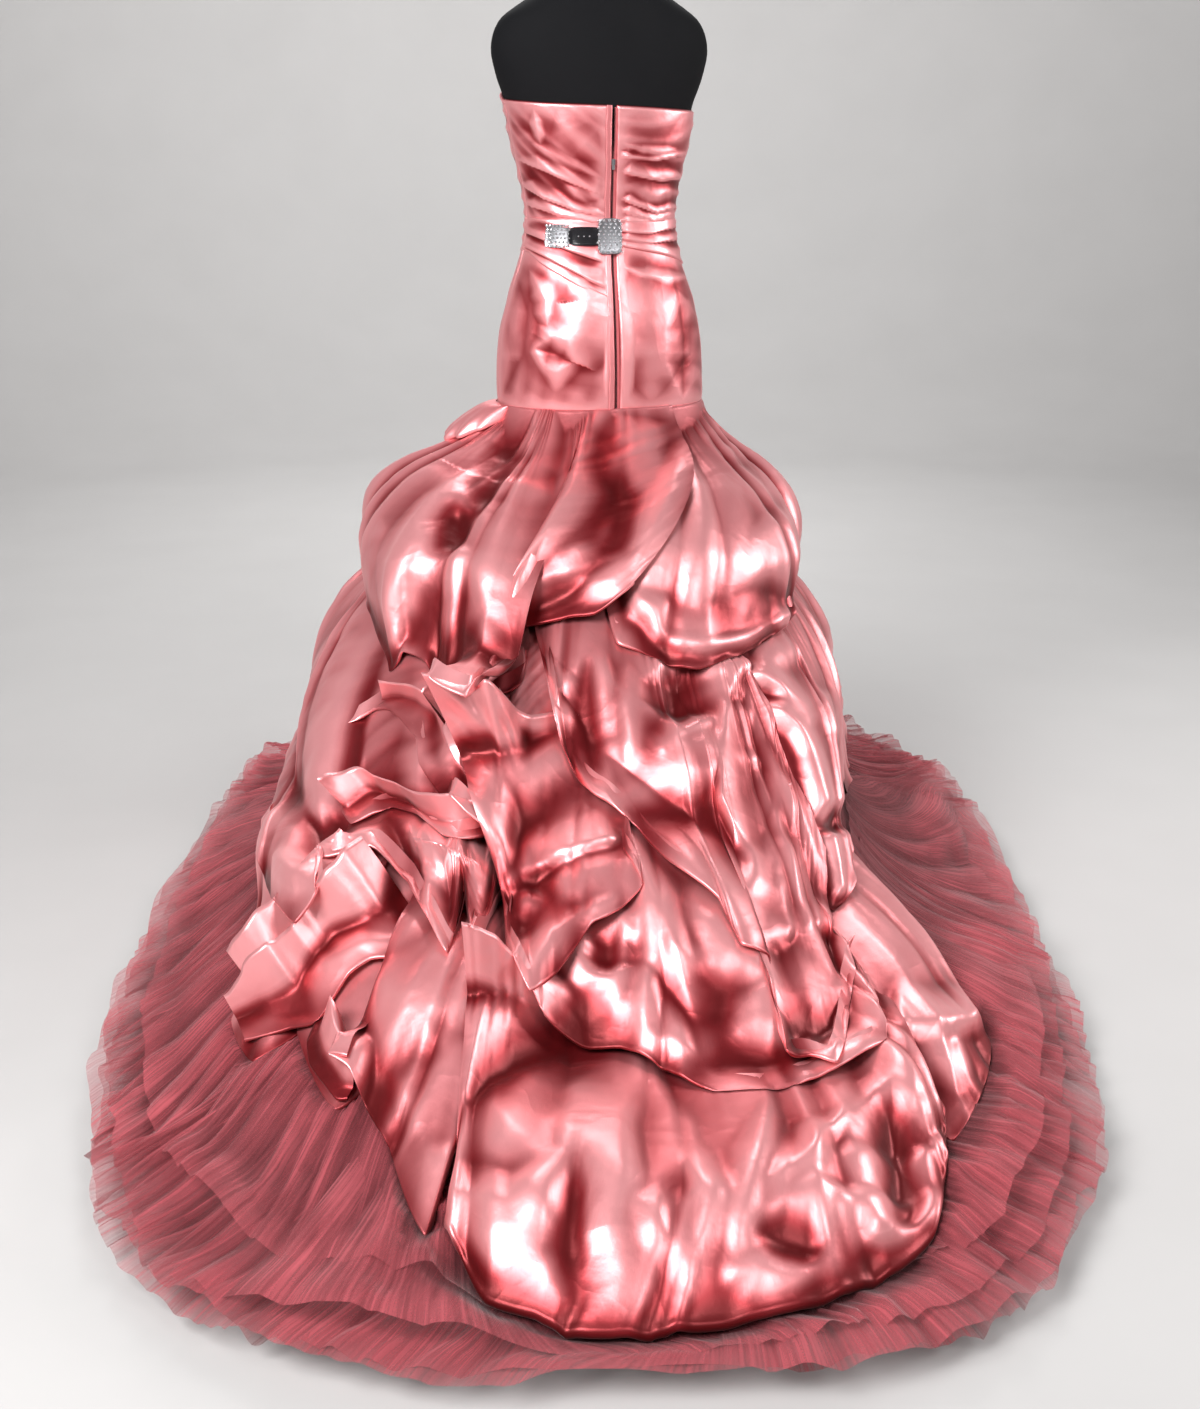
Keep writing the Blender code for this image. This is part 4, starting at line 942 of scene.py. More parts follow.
SWAGS["satin_train"] = dict(
    crumple=0.6, gathers=8, shirrs=26, late=1.6, depth=0.009, roll=0.014, relief=1.1, table=(
    (-13, 4.7, *seen(449, 1167), 0.015, 0.010, 0), (-11, 4.65, *seen(445, 1212), 0.035, 0.030, 0),
    (-9, 4.6, *seen(462, 1252), 0.040, 0.026, 0), (-6, 4.6, *seen(486, 1289), 0.048, 0.030, 0),
    (-2, 4.6, *seen(545, 1312), 0.050, 0.034, 0), (3, 4.6, *seen(620, 1323), 0.050, 0.034, 0),
    (9, 4.7, *seen(700, 1320), 0.050, 0.034, 0), (15, 4.7, *seen(770, 1307), 0.050, 0.034, 0),
    (21, 4.8, *seen(850, 1281), 0.050, 0.032, 0), (27, 4.8, *seen(905, 1254), 0.048, 0.030, 0),
    (32, 4.8, *seen(935, 1222), 0.046, 0.028, 0), (36, 4.8, *seen(946, 1165), 0.045, 0.036, 0),
    (40, 4.8, *seen(944, 1110), 0.035, 0.026, 0), (43, 4.8, *seen(918, 1085), 0.015, 0.010, 0)))
SWAGS["satin_side_right"] = dict(crumple=0.7, gathers=7, shirrs=16, depth=0.010, table=(
    (30, 2.0, 36, 3.60, 0.020, 0.012, 0), (42, 2.0, *seen(835, 905), 0.040, 0.026, 0),
    (54, 2.0, *seen(858, 880), 0.042, 0.026, 0), (64, 2.0, 68, 4.05, 0.044, 0.028, 0),
    (86, 2.0, 87, 3.80, 0.046, 0.028, 0), (102, 2.0, 102, 3.95, 0.045, 0.030, 0),
    (118, 2.0, 118, 3.60, 0.020, 0.012, 0)))
SWAGS["satin_front_mid"] = dict(gathers=10, depth=0.009, table=(
    (108, 2.0, 108, 3.55, 0.020, 0.012, 0), (128, 1.9, 128, 3.85, 0.050, 0.032, 0),
    (150, 1.9, 150, 3.50, 0.050, 0.032, 0), (176, 1.9, 176, 3.90, 0.055, 0.034, 0),
    (204, 1.9, 204, 3.55, 0.050, 0.032, 0), (230, 1.9, 230, 3.85, 0.050, 0.032, 0),
    (252, 2.0, 252, 3.45, 0.020, 0.012, 0)))
lower_pieces = list(SWAGS)
print("lower pieces", lower_pieces)

# %% Tables of the upper pieces
SWAGS["satin_swag_left"] = dict(cell=1.3, gathers=8, depth=0.009, table=(
    (-112, 1.9, -108, 3.35, 0.020, 0.012, 0), (-94, 1.9, -90, 3.60, 0.055, 0.034, 0),
    (-80, 2.0, *seen(261, 872), 0.060, 0.034, 0), (-72, 2.1, *seen(271, 898), 0.060, 0.034, 0),
    (-66, 2.2, *seen(293, 921), 0.060, 0.034, 0), (-60, 2.2, *seen(318, 892), 0.040, 0.014, 0),
    (-54, 2.2, *seen(326, 862), 0.036, 0.014, 0), (-48, 2.2, *seen(374, 850), 0.034, 0.014, 0),
    (-42, 2.2, *seen(402, 876), 0.034, 0.016, 0), (-37, 2.2, *seen(430, 916), 0.034, 0.016, 0),
    (-32, 2.2, *seen(447, 950), 0.034, 0.016, 0), (-28, 2.1, *seen(462, 890), 0.030, 0.012, 0),
    (-24, 2.0, *seen(470, 936), 0.030, 0.016, 0), (-19, 1.9, *seen(500, 885), 0.030, 0.014, 0),
    (-14, 1.8, *seen(535, 845), 0.026, 0.012, 0), (-8, 1.7, *seen(602, 805), 0.012, 0.008, 0)))
SWAGS["pick_up_wing"] = pick_up(
    (345, 800, 341, 812), (358, 790, 352, 824), (378, 780, 370, 812), (392, 790, 395, 806),
    (408, 798, 415, 812), (428, 810, 438, 832), (455, 818, 462, 834), (482, 822, 488, 834))
SWAGS["pick_up_shoulder"] = pick_up(
    (396, 690, 350, 724), (402, 692, 371, 709), (412, 694, 387, 708), (428, 698, 402, 720),
    (446, 712, 414, 737), (462, 732, 423, 765), (474, 752, 438, 793), (488, 775, 468, 814),
    (500, 795, 500, 836), puff=0.018, lip=0.016)
SWAGS["pick_up_pocket"] = pick_up(
    (508, 700, 466, 713), (512, 712, 447, 727), (514, 730, 446, 742), (514, 750, 460, 763),
    (514, 772, 484, 790), (512, 795, 499, 812), (510, 815, 502, 834), puff=0.018, lip=0.016)
SWAGS["pick_up_roll"] = pick_up(
    (488, 645, 500, 639), (494, 655, 522, 646), (496, 668, 527, 660), (490, 685, 521, 678),
    (474, 700, 494, 700), (456, 714, 470, 716), (446, 726, 450, 730), lip=0.020)
SWAGS["satin_drape_low"] = dict(crumple=0.6, gathers=6, depth=0.006, relief=1.1, table=(
    (-13, 3.1, *seen(531, 988), 0.012, 0.010, 0), (-8, 2.9, *seen(543, 1008), 0.030, 0.018, 0),
    (-3, 2.9, *seen(578, 1029), 0.042, 0.024, 0), (2, 2.9, *seen(622, 1048), 0.045, 0.026, 0),
    (7, 2.9, *seen(667, 1070), 0.045, 0.026, 0), (12, 2.9, *seen(713, 1087), 0.045, 0.026, 0),
    (18, 3.0, *seen(768, 1092), 0.045, 0.026, 0), (24, 3.1, *seen(820, 1072), 0.042, 0.024, 0),
    (30, 3.2, *seen(885, 1037), 0.038, 0.022, 0), (34, 3.3, *seen(878, 1000), 0.028, 0.016, 0),
    (38, 3.4, *seen(862, 965), 0.015, 0.010, 0)))
SWAGS["satin_cuff"] = dict(crumple=0.6, gathers=2, depth=0.003, table=(
    (-25, 2.9, *seen(508, 905), 0.015, 0.010, 0), (-18, 2.8, *seen(507, 950), 0.030, 0.014, 0),
    (-12, 2.7, *seen(530, 990), 0.032, 0.016, 0), (-6, 2.6, *seen(566, 960), 0.032, 0.016, 0),
    (-2, 2.6, *seen(592, 926), 0.032, 0.014, 0), (2, 2.6, *seen(637, 888), 0.030, 0.014, 0),
    (5, 2.6, *seen(622, 845), 0.015, 0.010, 0)))
SWAGS["satin_drape_right"] = dict(crumple=0.6, gathers=6, shirrs=22, depth=0.008, relief=1.15, ease=7, table=(
    (-17, 1.6, *seen(546, 660), 0.010, 0.006, -2), (-14, 1.6, *seen(552, 700), 0.020, 0.010, -2),
    (-11, 1.6, *seen(560, 742), 0.028, 0.012, -2), (-8, 1.6, *seen(580, 778), 0.034, 0.014, -2),
    (-4, 1.6, *seen(607, 799), 0.038, 0.016, -2), (1, 1.6, *seen(642, 830), 0.040, 0.018, -1),
    (6, 1.7, *seen(682, 868), 0.042, 0.018, 0), (10, 1.7, *seen(720, 903), 0.045, 0.020, 0),
    (13, 1.7, *seen(742, 938), 0.045, 0.020, 0), (16, 1.7, *seen(772, 957), 0.045, 0.020, 0),
    (19, 1.7, *seen(775, 990), 0.045, 0.020, 0), (22, 1.7, *seen(787, 1048), 0.045, 0.020, 1),
    (25, 1.7, *seen(812, 1052), 0.042, 0.018, 1), (27, 1.7, *seen(830, 1060), 0.040, 0.016, 1),
    (29, 1.7, *seen(846, 1020), 0.036, 0.014, 1), (31, 1.75, *seen(849, 972), 0.028, 0.012, 1),
    (33, 1.8, *seen(842, 925), 0.018, 0.008, 1), (34, 1.9, *seen(826, 850), 0.010, 0.006, 0)))
SWAGS["satin_upper_right"] = dict(
    crumple=0.55, gathers=7, shirrs=21, depth=0.010, late=2.2, slow=1.2, ease=6, table=(
    (10, 0.0, *seen(606, 606), 0.012, 0.010, 4), (18, 0.0, *seen(614, 638), 0.040, 0.022, 4),
    (26, 0.0, *seen(640, 651), 0.046, 0.022, 4), (35, 0.0, *seen(670, 664), 0.052, 0.022, 3),
    (45, 0.0, *seen(702, 665), 0.052, 0.022, 2), (55, 0.0, *seen(740, 655), 0.050, 0.022, 2),
    (64, 0.0, *seen(772, 636), 0.044, 0.022, 1), (74, 0.0, *seen(797, 615), 0.040, 0.022, 0),
    (90, 0.0, 84, 2.08, 0.042, 0.028, 0), (112, 0.0, 110, 2.28, 0.050, 0.032, 0),
    (140, 0.0, 140, 2.10, 0.050, 0.034, 0), (168, 0.0, 168, 2.26, 0.045, 0.030, 0),
    (192, 0.0, 192, 1.95, 0.012, 0.010, 0)))
SWAGS["satin_upper_left"] = dict(
    crumple=0.55, gathers=10, shirrs=33, depth=0.011, late=2.2, slow=1.2, ease=6, table=(
    (-176, 0.0, -176, 2.00, 0.035, 0.026, 0), (-148, 0.0, -148, 2.25, 0.055, 0.034, 0),
    (-118, 0.0, -121, 2.08, 0.060, 0.034, 0), (-90, 0.0, -100, 2.22, 0.064, 0.034, -2),
    (-66, 0.0, -86, 2.12, 0.066, 0.034, -4), (-54, 0.0, *seen(383, 652), 0.064, 0.018, -3),
    (-46, 0.0, *seen(396, 677), 0.058, 0.024, -3), (-41, 0.0, *seen(398, 655), 0.056, 0.018, -2),
    (-36, 0.0, *seen(408, 652), 0.054, 0.018, -2), (-29, 0.0, *seen(425, 661), 0.052, 0.018, -1),
    (-22, 0.0, *seen(437, 684), 0.050, 0.018, 0), (-15, 0.0, *seen(475, 706), 0.050, 0.018, 0),
    (-10, 0.0, *seen(474, 685), 0.048, 0.018, 1), (-5, 0.0, *seen(483, 655), 0.048, 0.018, 1),
    (2, 0.0, *seen(502, 631), 0.046, 0.018, 2), (10, 0.0, *seen(530, 620), 0.046, 0.018, 3),
    (20, 0.0, *seen(575, 611), 0.042, 0.018, 4), (29, 0.0, *seen(600, 605), 0.038, 0.018, 6),
    (38, 0.0, *seen(624, 592), 0.030, 0.018, 7), (46, 0.0, *seen(634, 583), 0.010, 0.008, 9)))
print("upper pieces", [name for name in SWAGS if name not in lower_pieces])

# %% Fold lines of the upper tier
FOLDS = {name: () for name in SWAGS}
FOLDS["satin_upper_left"] = (
    ("crest", 0.032, 0.026, ((548, 400), (535, 470), (500, 560), (452, 670))),
    ("crest", 0.022, 0.018, ((498, 400), (480, 450), (440, 500), (395, 600), (383, 670))),
    ("pinch", 0.014, 0.010, ((352, 548), (400, 530), (442, 498))),
    ("crest", 0.020, 0.018, ((602, 405), (560, 510), (505, 630))),
    ("valley", 0.012, 0.014, ((536, 405), (515, 450), (490, 500), (468, 550))),
    ("valley", 0.016, 0.014, ((452, 498), (458, 530), (478, 560))),
    ("pinch", 0.011, 0.009, ((602, 478), (545, 535), (498, 632))),
    ("crest", 0.016, 0.014, ((672, 425), (630, 455), (590, 488))),
    ("crest", 0.010, 0.006, ((545, 550), (575, 562), (600, 545))),
    ("pinch", 0.014, 0.014, ((522, 515), (490, 605), (474, 715))),
    ("valley", 0.014, 0.012, ((470, 560), (458, 610), (452, 690))),
    ("pinch", 0.012, 0.012, ((425, 555), (404, 620), (395, 690))),
    ("valley", 0.010, 0.010, ((440, 560), (418, 620), (408, 660))),
    ("crest", 0.012, 0.008, ((672, 412), (684, 450), (672, 492), (645, 550), (622, 592))),
    ("crest", 0.026, 0.012, ((580, 520), (570, 570), (560, 610))),
    ("pinch", 0.010, 0.008, ((620, 500), (600, 550), (590, 600))))
FOLDS["satin_upper_right"] = (
    ("over", 0.020, 0.016,
     ((630, 590), (640, 612), (655, 635), (672, 648), (700, 652), (745, 643), (800, 610))),
    ("pinch", 0.010, 0.008, ((702, 450), (716, 520), (724, 585), (729, 650))),
    ("pinch", 0.010, 0.008, ((732, 470), (755, 550), (792, 622))),
    ("crest", 0.034, 0.016, ((697, 425), (700, 520), (688, 625))),
    ("crest", 0.022, 0.012, ((745, 500), (772, 560), (790, 600))),
    ("crest", 0.014, 0.010, ((698, 405), (720, 430), (745, 475))))
FOLDS["satin_drape_right"] = (
    ("pinch", 0.012, 0.010, ((545, 650), (553, 700), (561, 750))),
    ("pinch", 0.012, 0.014, ((600, 640), (603, 720), (610, 806))),
    ("crest", 0.014, 0.012, ((628, 660), (628, 740), (620, 800))),
    ("valley", 0.014, 0.012, ((587, 650), (590, 720), (598, 790))),
    ("valley", 0.018, 0.022, ((684, 650), (683, 700), (679, 735))),
    ("pinch", 0.012, 0.014, ((640, 790), (665, 750), (690, 728), (722, 708))),
    ("crest", 0.014, 0.014, ((716, 650), (728, 690), (745, 695))),
    ("over", 0.014, 0.012, ((722, 680), (718, 740), (716, 800), (732, 838), (746, 865), (747, 915))),
    ("crest", 0.030, 0.014, ((695, 715), (685, 770), (700, 810))),
    ("crest", 0.022, 0.008, ((765, 770), (800, 840), (760, 900))),
    ("pinch", 0.010, 0.005, ((748, 900), (782, 886), (802, 858))),
    ("valley", 0.024, 0.040, ((842, 915), (815, 985), (786, 1062))),
    ("pinch", 0.014, 0.018, ((768, 940), (775, 990), (788, 1060))),
    ("pinch", 0.012, 0.012, ((853, 950), (848, 1010), (826, 1072))),
    ("crest", 0.016, 0.012, ((812, 985), (830, 1010), (846, 1025))),
    ("crest", 0.016, 0.010, ((645, 820), (690, 862), (735, 905), (760, 945))))
print("folds so far", sum(map(len, FOLDS.values())))

# %% Fold lines of the pick-ups on the left
FOLDS["satin_swag_left"] = (
    ("pinch", 0.012, 0.014, ((380, 845), (410, 890), (432, 920), (449, 958))),
    ("valley", 0.012, 0.014, ((465, 835), (464, 885), (452, 955))),
    ("pinch", 0.010, 0.012, ((470, 850), (468, 900), (471, 945))),
    ("valley", 0.010, 0.012, ((508, 870), (480, 925))),
    ("crest", 0.022, 0.014, ((312, 800), (290, 850), (276, 900))),
    ("valley", 0.016, 0.018, ((330, 800), (322, 850), (325, 890))))
FOLDS["pick_up_shoulder"] = (
    ("crest", 0.012, 0.008, ((455, 700), (448, 740), (458, 790))),
    ("valley", 0.008, 0.006, ((436, 700), (432, 735), (440, 770))))
FOLDS["pick_up_pocket"] = (
    ("pinch", 0.012, 0.012, ((500, 690), (490, 718), (474, 752))),
    ("pinch", 0.012, 0.010, ((498, 690), (508, 735), (512, 780))),
    ("valley", 0.008, 0.008, ((462, 735), (476, 765), (496, 795))))
FOLDS["satin_side_left"] = (
    ("crest", 0.018, 0.012, ((290, 800), (270, 850), (262, 900))),
    ("valley", 0.014, 0.012, ((330, 900), (290, 960))))
FOLDS["pick_up_finger"] = (
    ("pinch", 0.014, 0.012, ((440, 940), (370, 948), (320, 975), (240, 1012))),
    ("crest", 0.022, 0.010, ((400, 890), (370, 905), (345, 930))))
FOLDS["satin_cuff"] = (
    ("pinch", 0.014, 0.014, ((500, 952), (555, 936), (605, 908), (645, 882))),
    ("over", 0.016, 0.014, ((500, 905), (520, 880), (560, 860), (625, 840))),
    ("crest", 0.022, 0.012, ((580, 845), (592, 880), (555, 925))),
    ("valley", 0.012, 0.010, ((520, 902), (545, 872), (565, 862))),
    ("pinch", 0.010, 0.010, ((545, 870), (522, 910), (508, 948))))
FOLDS["satin_drape_low"] = (
    ("pinch", 0.014, 0.018, ((625, 820), (645, 880), (667, 940), (692, 1010), (714, 1085))),
    ("pinch", 0.012, 0.016, ((690, 925), (735, 952), (760, 982), (768, 1015))),
    ("crest", 0.018, 0.016, ((668, 942), (700, 928), (722, 945), (758, 990))),
    ("over", 0.014, 0.014, ((585, 930), (572, 955), (585, 985), (612, 990))),
    ("pinch", 0.011, 0.014, ((645, 890), (622, 945), (616, 990), (621, 1055))),
    ("valley", 0.012, 0.014, ((615, 920), (607, 985))),
    ("pinch", 0.010, 0.010, ((642, 890), (628, 930), (606, 975))),
    ("crest", 0.020, 0.016, ((635, 955), (655, 1010), (708, 1072))),
    ("valley", 0.016, 0.014, ((665, 955), (685, 1010), (702, 1060))),
    ("crest", 0.022, 0.014, ((725, 990), (772, 1010), (765, 1065))),
    ("pinch", 0.012, 0.010, ((892, 1034), (850, 1055), (795, 1078))),
    ("crest", 0.018, 0.012, ((865, 950), (888, 1035))),
    ("crest", 0.016, 0.012, ((545, 985), (580, 970), (600, 945))))
print("folds so far", sum(map(len, FOLDS.values())))

# %% Fold lines of the train and the sides
FOLDS["satin_diagonal"] = (
    ("crest", 0.034, 0.016, ((510, 905), (430, 1000), (360, 1075))),
    ("pinch", 0.010, 0.007, ((392, 1045), (408, 1068), (438, 1087))),
    ("crest", 0.020, 0.012, ((462, 990), (470, 1040), (442, 1080), (408, 1140))),
    ("valley", 0.026, 0.016, ((520, 1000), (470, 1090), (432, 1160))),
    ("pinch", 0.012, 0.012, ((529, 950), (535, 1010), (528, 1075))),
    ("crest", 0.010, 0.010, ((560, 1000), (545, 1040), (538, 1075))))
FOLDS["satin_train"] = (
    ("pinch", 0.010, 0.016, ((600, 1040), (606, 1100), (604, 1170), (606, 1260), (605, 1330))),
    ("crest", 0.014, 0.014, ((617, 1045), (620, 1110), (626, 1180), (628, 1250))),
    ("crest", 0.013, 0.014, ((630, 1050), (650, 1100), (661, 1160), (668, 1220), (682, 1264), (700, 1280))),
    ("valley", 0.010, 0.014, ((643, 1065), (655, 1130), (666, 1200), (676, 1255))),
    ("pinch", 0.010, 0.012, ((663, 1095), (680, 1160), (700, 1190), (713, 1202), (703, 1242), (701, 1270))),
    ("pinch", 0.010, 0.012, ((770, 1085), (760, 1150), (742, 1225), (738, 1290))),
    ("valley", 0.011, 0.010, ((586, 1135), (580, 1180), (575, 1240), (570, 1310))),
    ("crest", 0.013, 0.012, ((602, 1065), (585, 1110), (558, 1172))),
    ("pinch", 0.009, 0.007, ((586, 1142), (598, 1155), (606, 1170))),
    ("crest", 0.022, 0.012, ((505, 1180), (560, 1225))),
    ("crest", 0.030, 0.014, ((482, 1160), (472, 1230), (500, 1290))),
    ("pinch", 0.012, 0.014, ((735, 1205), (775, 1185), (815, 1155), (850, 1100))),
    ("valley", 0.012, 0.012, ((750, 1222), (785, 1238), (835, 1245))),
    ("crest", 0.018, 0.010, ((740, 1182), (800, 1195), (855, 1185))),
    ("crest", 0.020, 0.010, ((725, 1262), (780, 1280), (835, 1275))),
    ("pinch", 0.009, 0.008, ((722, 1288), (745, 1272), (765, 1264))),
    ("valley", 0.026, 0.034, ((893, 1075), (902, 1160), (898, 1240))),
    ("crest", 0.020, 0.018, ((868, 1095), (878, 1180), (886, 1220), (912, 1240))),
    ("crest", 0.020, 0.018, ((930, 1095), (940, 1180), (922, 1235))),
    ("crest", 0.018, 0.010, ((560, 1040), (520, 1110), (470, 1165))))
FOLDS["satin_petal_right"] = (
    ("over", 0.020, 0.020, ((880, 1034), (930, 1038), (965, 1034), (985, 1026))),
    ("crest", 0.018, 0.010, ((900, 1050), (945, 1062), (980, 1070))),
    ("valley", 0.014, 0.010, ((890, 1078), (940, 1088), (972, 1095))))
FOLDS["satin_side_right"] = (
    ("over", 0.016, 0.018, ((740, 672), (770, 690), (792, 712), (804, 740))),
    ("crest", 0.014, 0.012, ((750, 668), (775, 656), (800, 650))),
    ("over", 0.016, 0.018, ((820, 832), (830, 865), (836, 905))),
    ("over", 0.018, 0.020, ((757, 704), (790, 735), (801, 755), (811, 795), (821, 827))),
    ("crest", 0.014, 0.010, ((790, 690), (815, 720), (830, 760))))
print("all folds", sum(map(len, FOLDS.values())))

# %% Lay the satin, piece over piece
SEEN_CELL, HIDDEN_CELL = 0.0058, 0.0140
SEEN_SIDE = 105
LIP_ROWS = 5
LIP_ROLL = 0.005
HEM_TURN = 0.030
RING_SPACE = 0.19
LIP_REST = 0.004
CREASE, FINE_CREASE = 0.0042, 0.0013
DOWN_GRAIN = 0.42
SHIRR = 0.0075
SKIRT_FOLDS = 1.3
COARSE = 3.0
HEM_SHIFT = 60.0
GAP = 0.0022


def swag_grid(made, table, coarse):
    """(angle, ring, height) of a satin piece: rows from its sewn edge to its hem, and its table's columns."""
    grain = made.get("cell", 1.0) * coarse
    ends = [foundation(np.radians(table[:, place]), table[:, place + 1]) for place in (0, 2)]
    runs = np.maximum(*[np.linalg.norm(np.diff(end, axis=0), axis=1) for end in ends])
    middle = (table[:-1, 2] + table[1:, 2]) / 2
    cells = np.where(np.abs((middle + 180) % 360 - 180) < SEEN_SIDE, SEEN_CELL, HIDDEN_CELL) * grain
    mark = np.concatenate([[0], np.cumsum(runs / cells)])
    columns = int(mark[-1]) + 1
    across = np.interp(np.linspace(0, mark[-1], columns), mark, np.arange(len(table)))
    row = soft_rows(table, across)
    straight = np.stack([np.interp(across, np.arange(len(table)), table[:, place]) for place in range(7)], -1)
    row[:, 2:4] = 0.35 * row[:, 2:4] + 0.65 * straight[:, 2:4]
    row[:, 4:] = 0.5 * row[:, 4:] + 0.5 * straight[:, 4:]
    sewn_angle, sewn_ring, hem_angle, hem_ring, puff, lip, bow = row.T
    rows = int(np.max(np.linalg.norm(ends[1] - ends[0], axis=1)) * 1.1 / SEEN_CELL / grain) + 4
    down = np.linspace(0, 1, rows)[:, None]
    angle = np.radians(sewn_angle * (1 - down) + hem_angle * down + bow * 4 * down * (1 - down))
    ring = sewn_ring * (1 - down) + hem_ring * down
    late = made.get("late", 0.75)
    swell = puff * np.sin(math.pi * down ** late) ** made.get("slow", 1.0) + lip * soft_step(down * 1.6)
    marks = np.minimum(np.round(mark / mark[-1] * (columns - 1)).astype(int), columns - 1)
    return angle, ring, swell, down, np.linspace(0, 1, columns)[None, :], marks


def gathers(name, made, down, across):
    """Folds that fan out from the gathered edge: round crests and sharper valleys."""
    seed = seed_of(name)
    sway = 0.22 * np.sin(down * 5 + across * 9 + seed)
    phase = across * made["gathers"] + 0.30 * np.sin(across * 23 + seed) + sway
    crest = faceted(phase, 0.16) - 0.45
    fine = faceted(phase * 2.3 + 0.16 * np.sin(down * 7 + seed), 0.12) - 0.45
    grown = soft_step(down * 3) * (0.5 + 0.5 * down) * np.minimum(1, np.minimum(across, 1 - across) * 14)
    shirrs = made.get("shirrs", 0)
    shirring = faceted(across * shirrs + 0.3 * np.sin(across * 61 + seed), 0.25) - 0.45
    shirring = SHIRR * shirring * np.minimum(1, down * 40) * np.exp(-down / 0.16) * (shirrs > 0)
    return shirring + made["depth"] * (1.6 * crest + 0.7 * fine * (1 - down) - 0.5 * fine * down) * grown


def settle(swell, foot, away, trees, ease):
    """The swell, raised to lie over a smoothed cover of everything below it."""
    under = shortfall(foot, away, trees, GAP)
    for axis in (0, 1):
        padded = padded_along(under, ease, axis)
        under = np.max([np.take(padded, np.arange(under.shape[axis]) + step, axis=axis)
                        for step in range(2 * ease + 1)], 0)
    return softened(np.maximum(swell, softened(under, ease)), 1)


def shaped(name, made, table, trees, coarse):
    """A piece's grid and heights, before its hem is rolled."""
    angle, ring, swell, down, across, marks = swag_grid(made, table, coarse)
    foot, away = skirt_foot(angle, ring)
    swell = settle(swell, foot, away, trees, max(1, round(made.get("ease", 5) / coarse)))
    base = foot + away * swell[..., None]
    front = towards_camera(base, away)
    u = np.cumsum(np.linalg.norm(np.diff(base, axis=1, prepend=base[:, :1]), axis=-1), 1)
    v = np.cumsum(np.linalg.norm(np.diff(base, axis=0, prepend=base[:1]), axis=-1), 0)
    height = swell + gathers(name, made, down, across) * (1.8 - 1.1 * front)
    folds = fold_height(base, away, FOLDS[name], SKIRT_FOLDS * made.get("relief", 1.0), SKIRT_FLANK)
    height = height + (softened(folds, 1, 2) if coarse == 1 else folds)
    seed = seed_of(name)
    crumple = made.get("crumple", 1.0) * soft_step(down * 6)
    hang = v * DOWN_GRAIN
    fine = FINE_CREASE * creases(u, hang, seed + 1, 0.038, 7)
    height = height + crumple * (CREASE * creases(u, hang, seed) + fine)
    height = np.maximum(height, LIP_REST)
    height[0] = 0
    return angle, ring, height, in_photo(foot[-1] + away[-1] * height[-1][:, None])[0][marks]


def lay(name, made, trees):
    """The points of one satin piece, clear of everything below it, its hem where the photograph has it, and the
    mask of its painted shade.
    """
    table = [list(row) for row in made["table"]]
    hem_places = shaped(name, made, found_table(table, trees), trees, COARSE)[3]
    for row, place in zip(table, hem_places):
        if row[2] > PIXEL / 2:
            row[2] += float(np.clip(row[2] - PIXEL - place[0], -HEM_SHIFT, HEM_SHIFT))
            row[3] += float(np.clip(row[3] - place[1], -HEM_SHIFT, HEM_SHIFT))
    angle, ring, height, _ = shaped(name, made, found_table(table, trees), trees, 1)
    rows = len(height)
    roll = made.get("roll", LIP_ROLL)
    hem_ring, hem_height = ring[rows - 1:rows], height[rows - 1:rows]
    for share in np.linspace(0, 1, LIP_ROWS + 1)[1:]:
        angle = np.concatenate([angle, angle[-1:]])
        ring = np.concatenate([ring, hem_ring + roll / RING_SPACE / 2 * math.sin(math.pi * share)])
        fall = roll * (1 - math.cos(math.pi * share)) / 2
        height = np.concatenate([height, np.maximum(hem_height - fall, LIP_REST / 2)])
    for share in (0.35, 1.0):
        angle = np.concatenate([angle, angle[-1:]])
        ring = np.concatenate([ring, hem_ring - HEM_TURN / RING_SPACE * share])
        height = np.concatenate([height, np.maximum(hem_height - roll, LIP_REST / 2)])
    foot, away = skirt_foot(angle, ring)
    need = shortfall(foot + away * height[..., None], away, trees, GAP)
    height = height + bridged(need, SEEN_CELL * made.get("cell", 1.0))
    need = shortfall(foot + away * height[..., None], away, trees, GAP)
    points = foot + away * (height + need)[..., None]
    points[..., 2] = np.maximum(points[..., 2], 0.001)
    # Painted shade and highlight: the mask is low where the satin lies below its neighbourhood and high where
    # it stands above.
    shade = painted_shade_mask(height[:rows])
    return points, np.concatenate([shade] + [shade[-1:]] * (len(height) - rows))


PETTICOAT_RINGS = np.linspace(0, 5.5, 60)
PETTICOAT_ANGLES = np.radians(np.arange(160) * 2.25)
PETTICOAT_IN = 0.0005
under_ring, under_angle = np.meshgrid(PETTICOAT_RINGS, PETTICOAT_ANGLES, indexing="ij")
under_foot, under_away = skirt_foot(under_angle, under_ring)
petticoat_points = under_foot - under_away * PETTICOAT_IN
laid = [tree_of(petticoat_points, closed=True)]
satin_points, satin_painted_shades = {}, {}
for name, made in SWAGS.items():
    satin_points[name], satin_painted_shades[name] = lay(name, made, laid)
    laid.append(tree_of(satin_points[name]))
print("satin points", {name: points.shape[:2] for name, points in satin_points.items()})

# %% Turn the satin's grids into pieces
satin_pieces = {}
for name, points in satin_points.items():
    made = cloth(name + "_cloth", points)
    store_painted_shade(made, satin_painted_shades[name])
    made.data.materials.append(satin)
    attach(made, "gown")
    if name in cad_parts:
        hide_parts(name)
    satin_pieces[name] = made
print("satin faces", sum(len(made.data.polygons) for made in satin_pieces.values()))

# %% Fold a loop out of the hip seam
LOOP_SIDES = (-112.0, -70.0)
LOOP_REACH = 0.088
LOOP_DROOP = 0.030
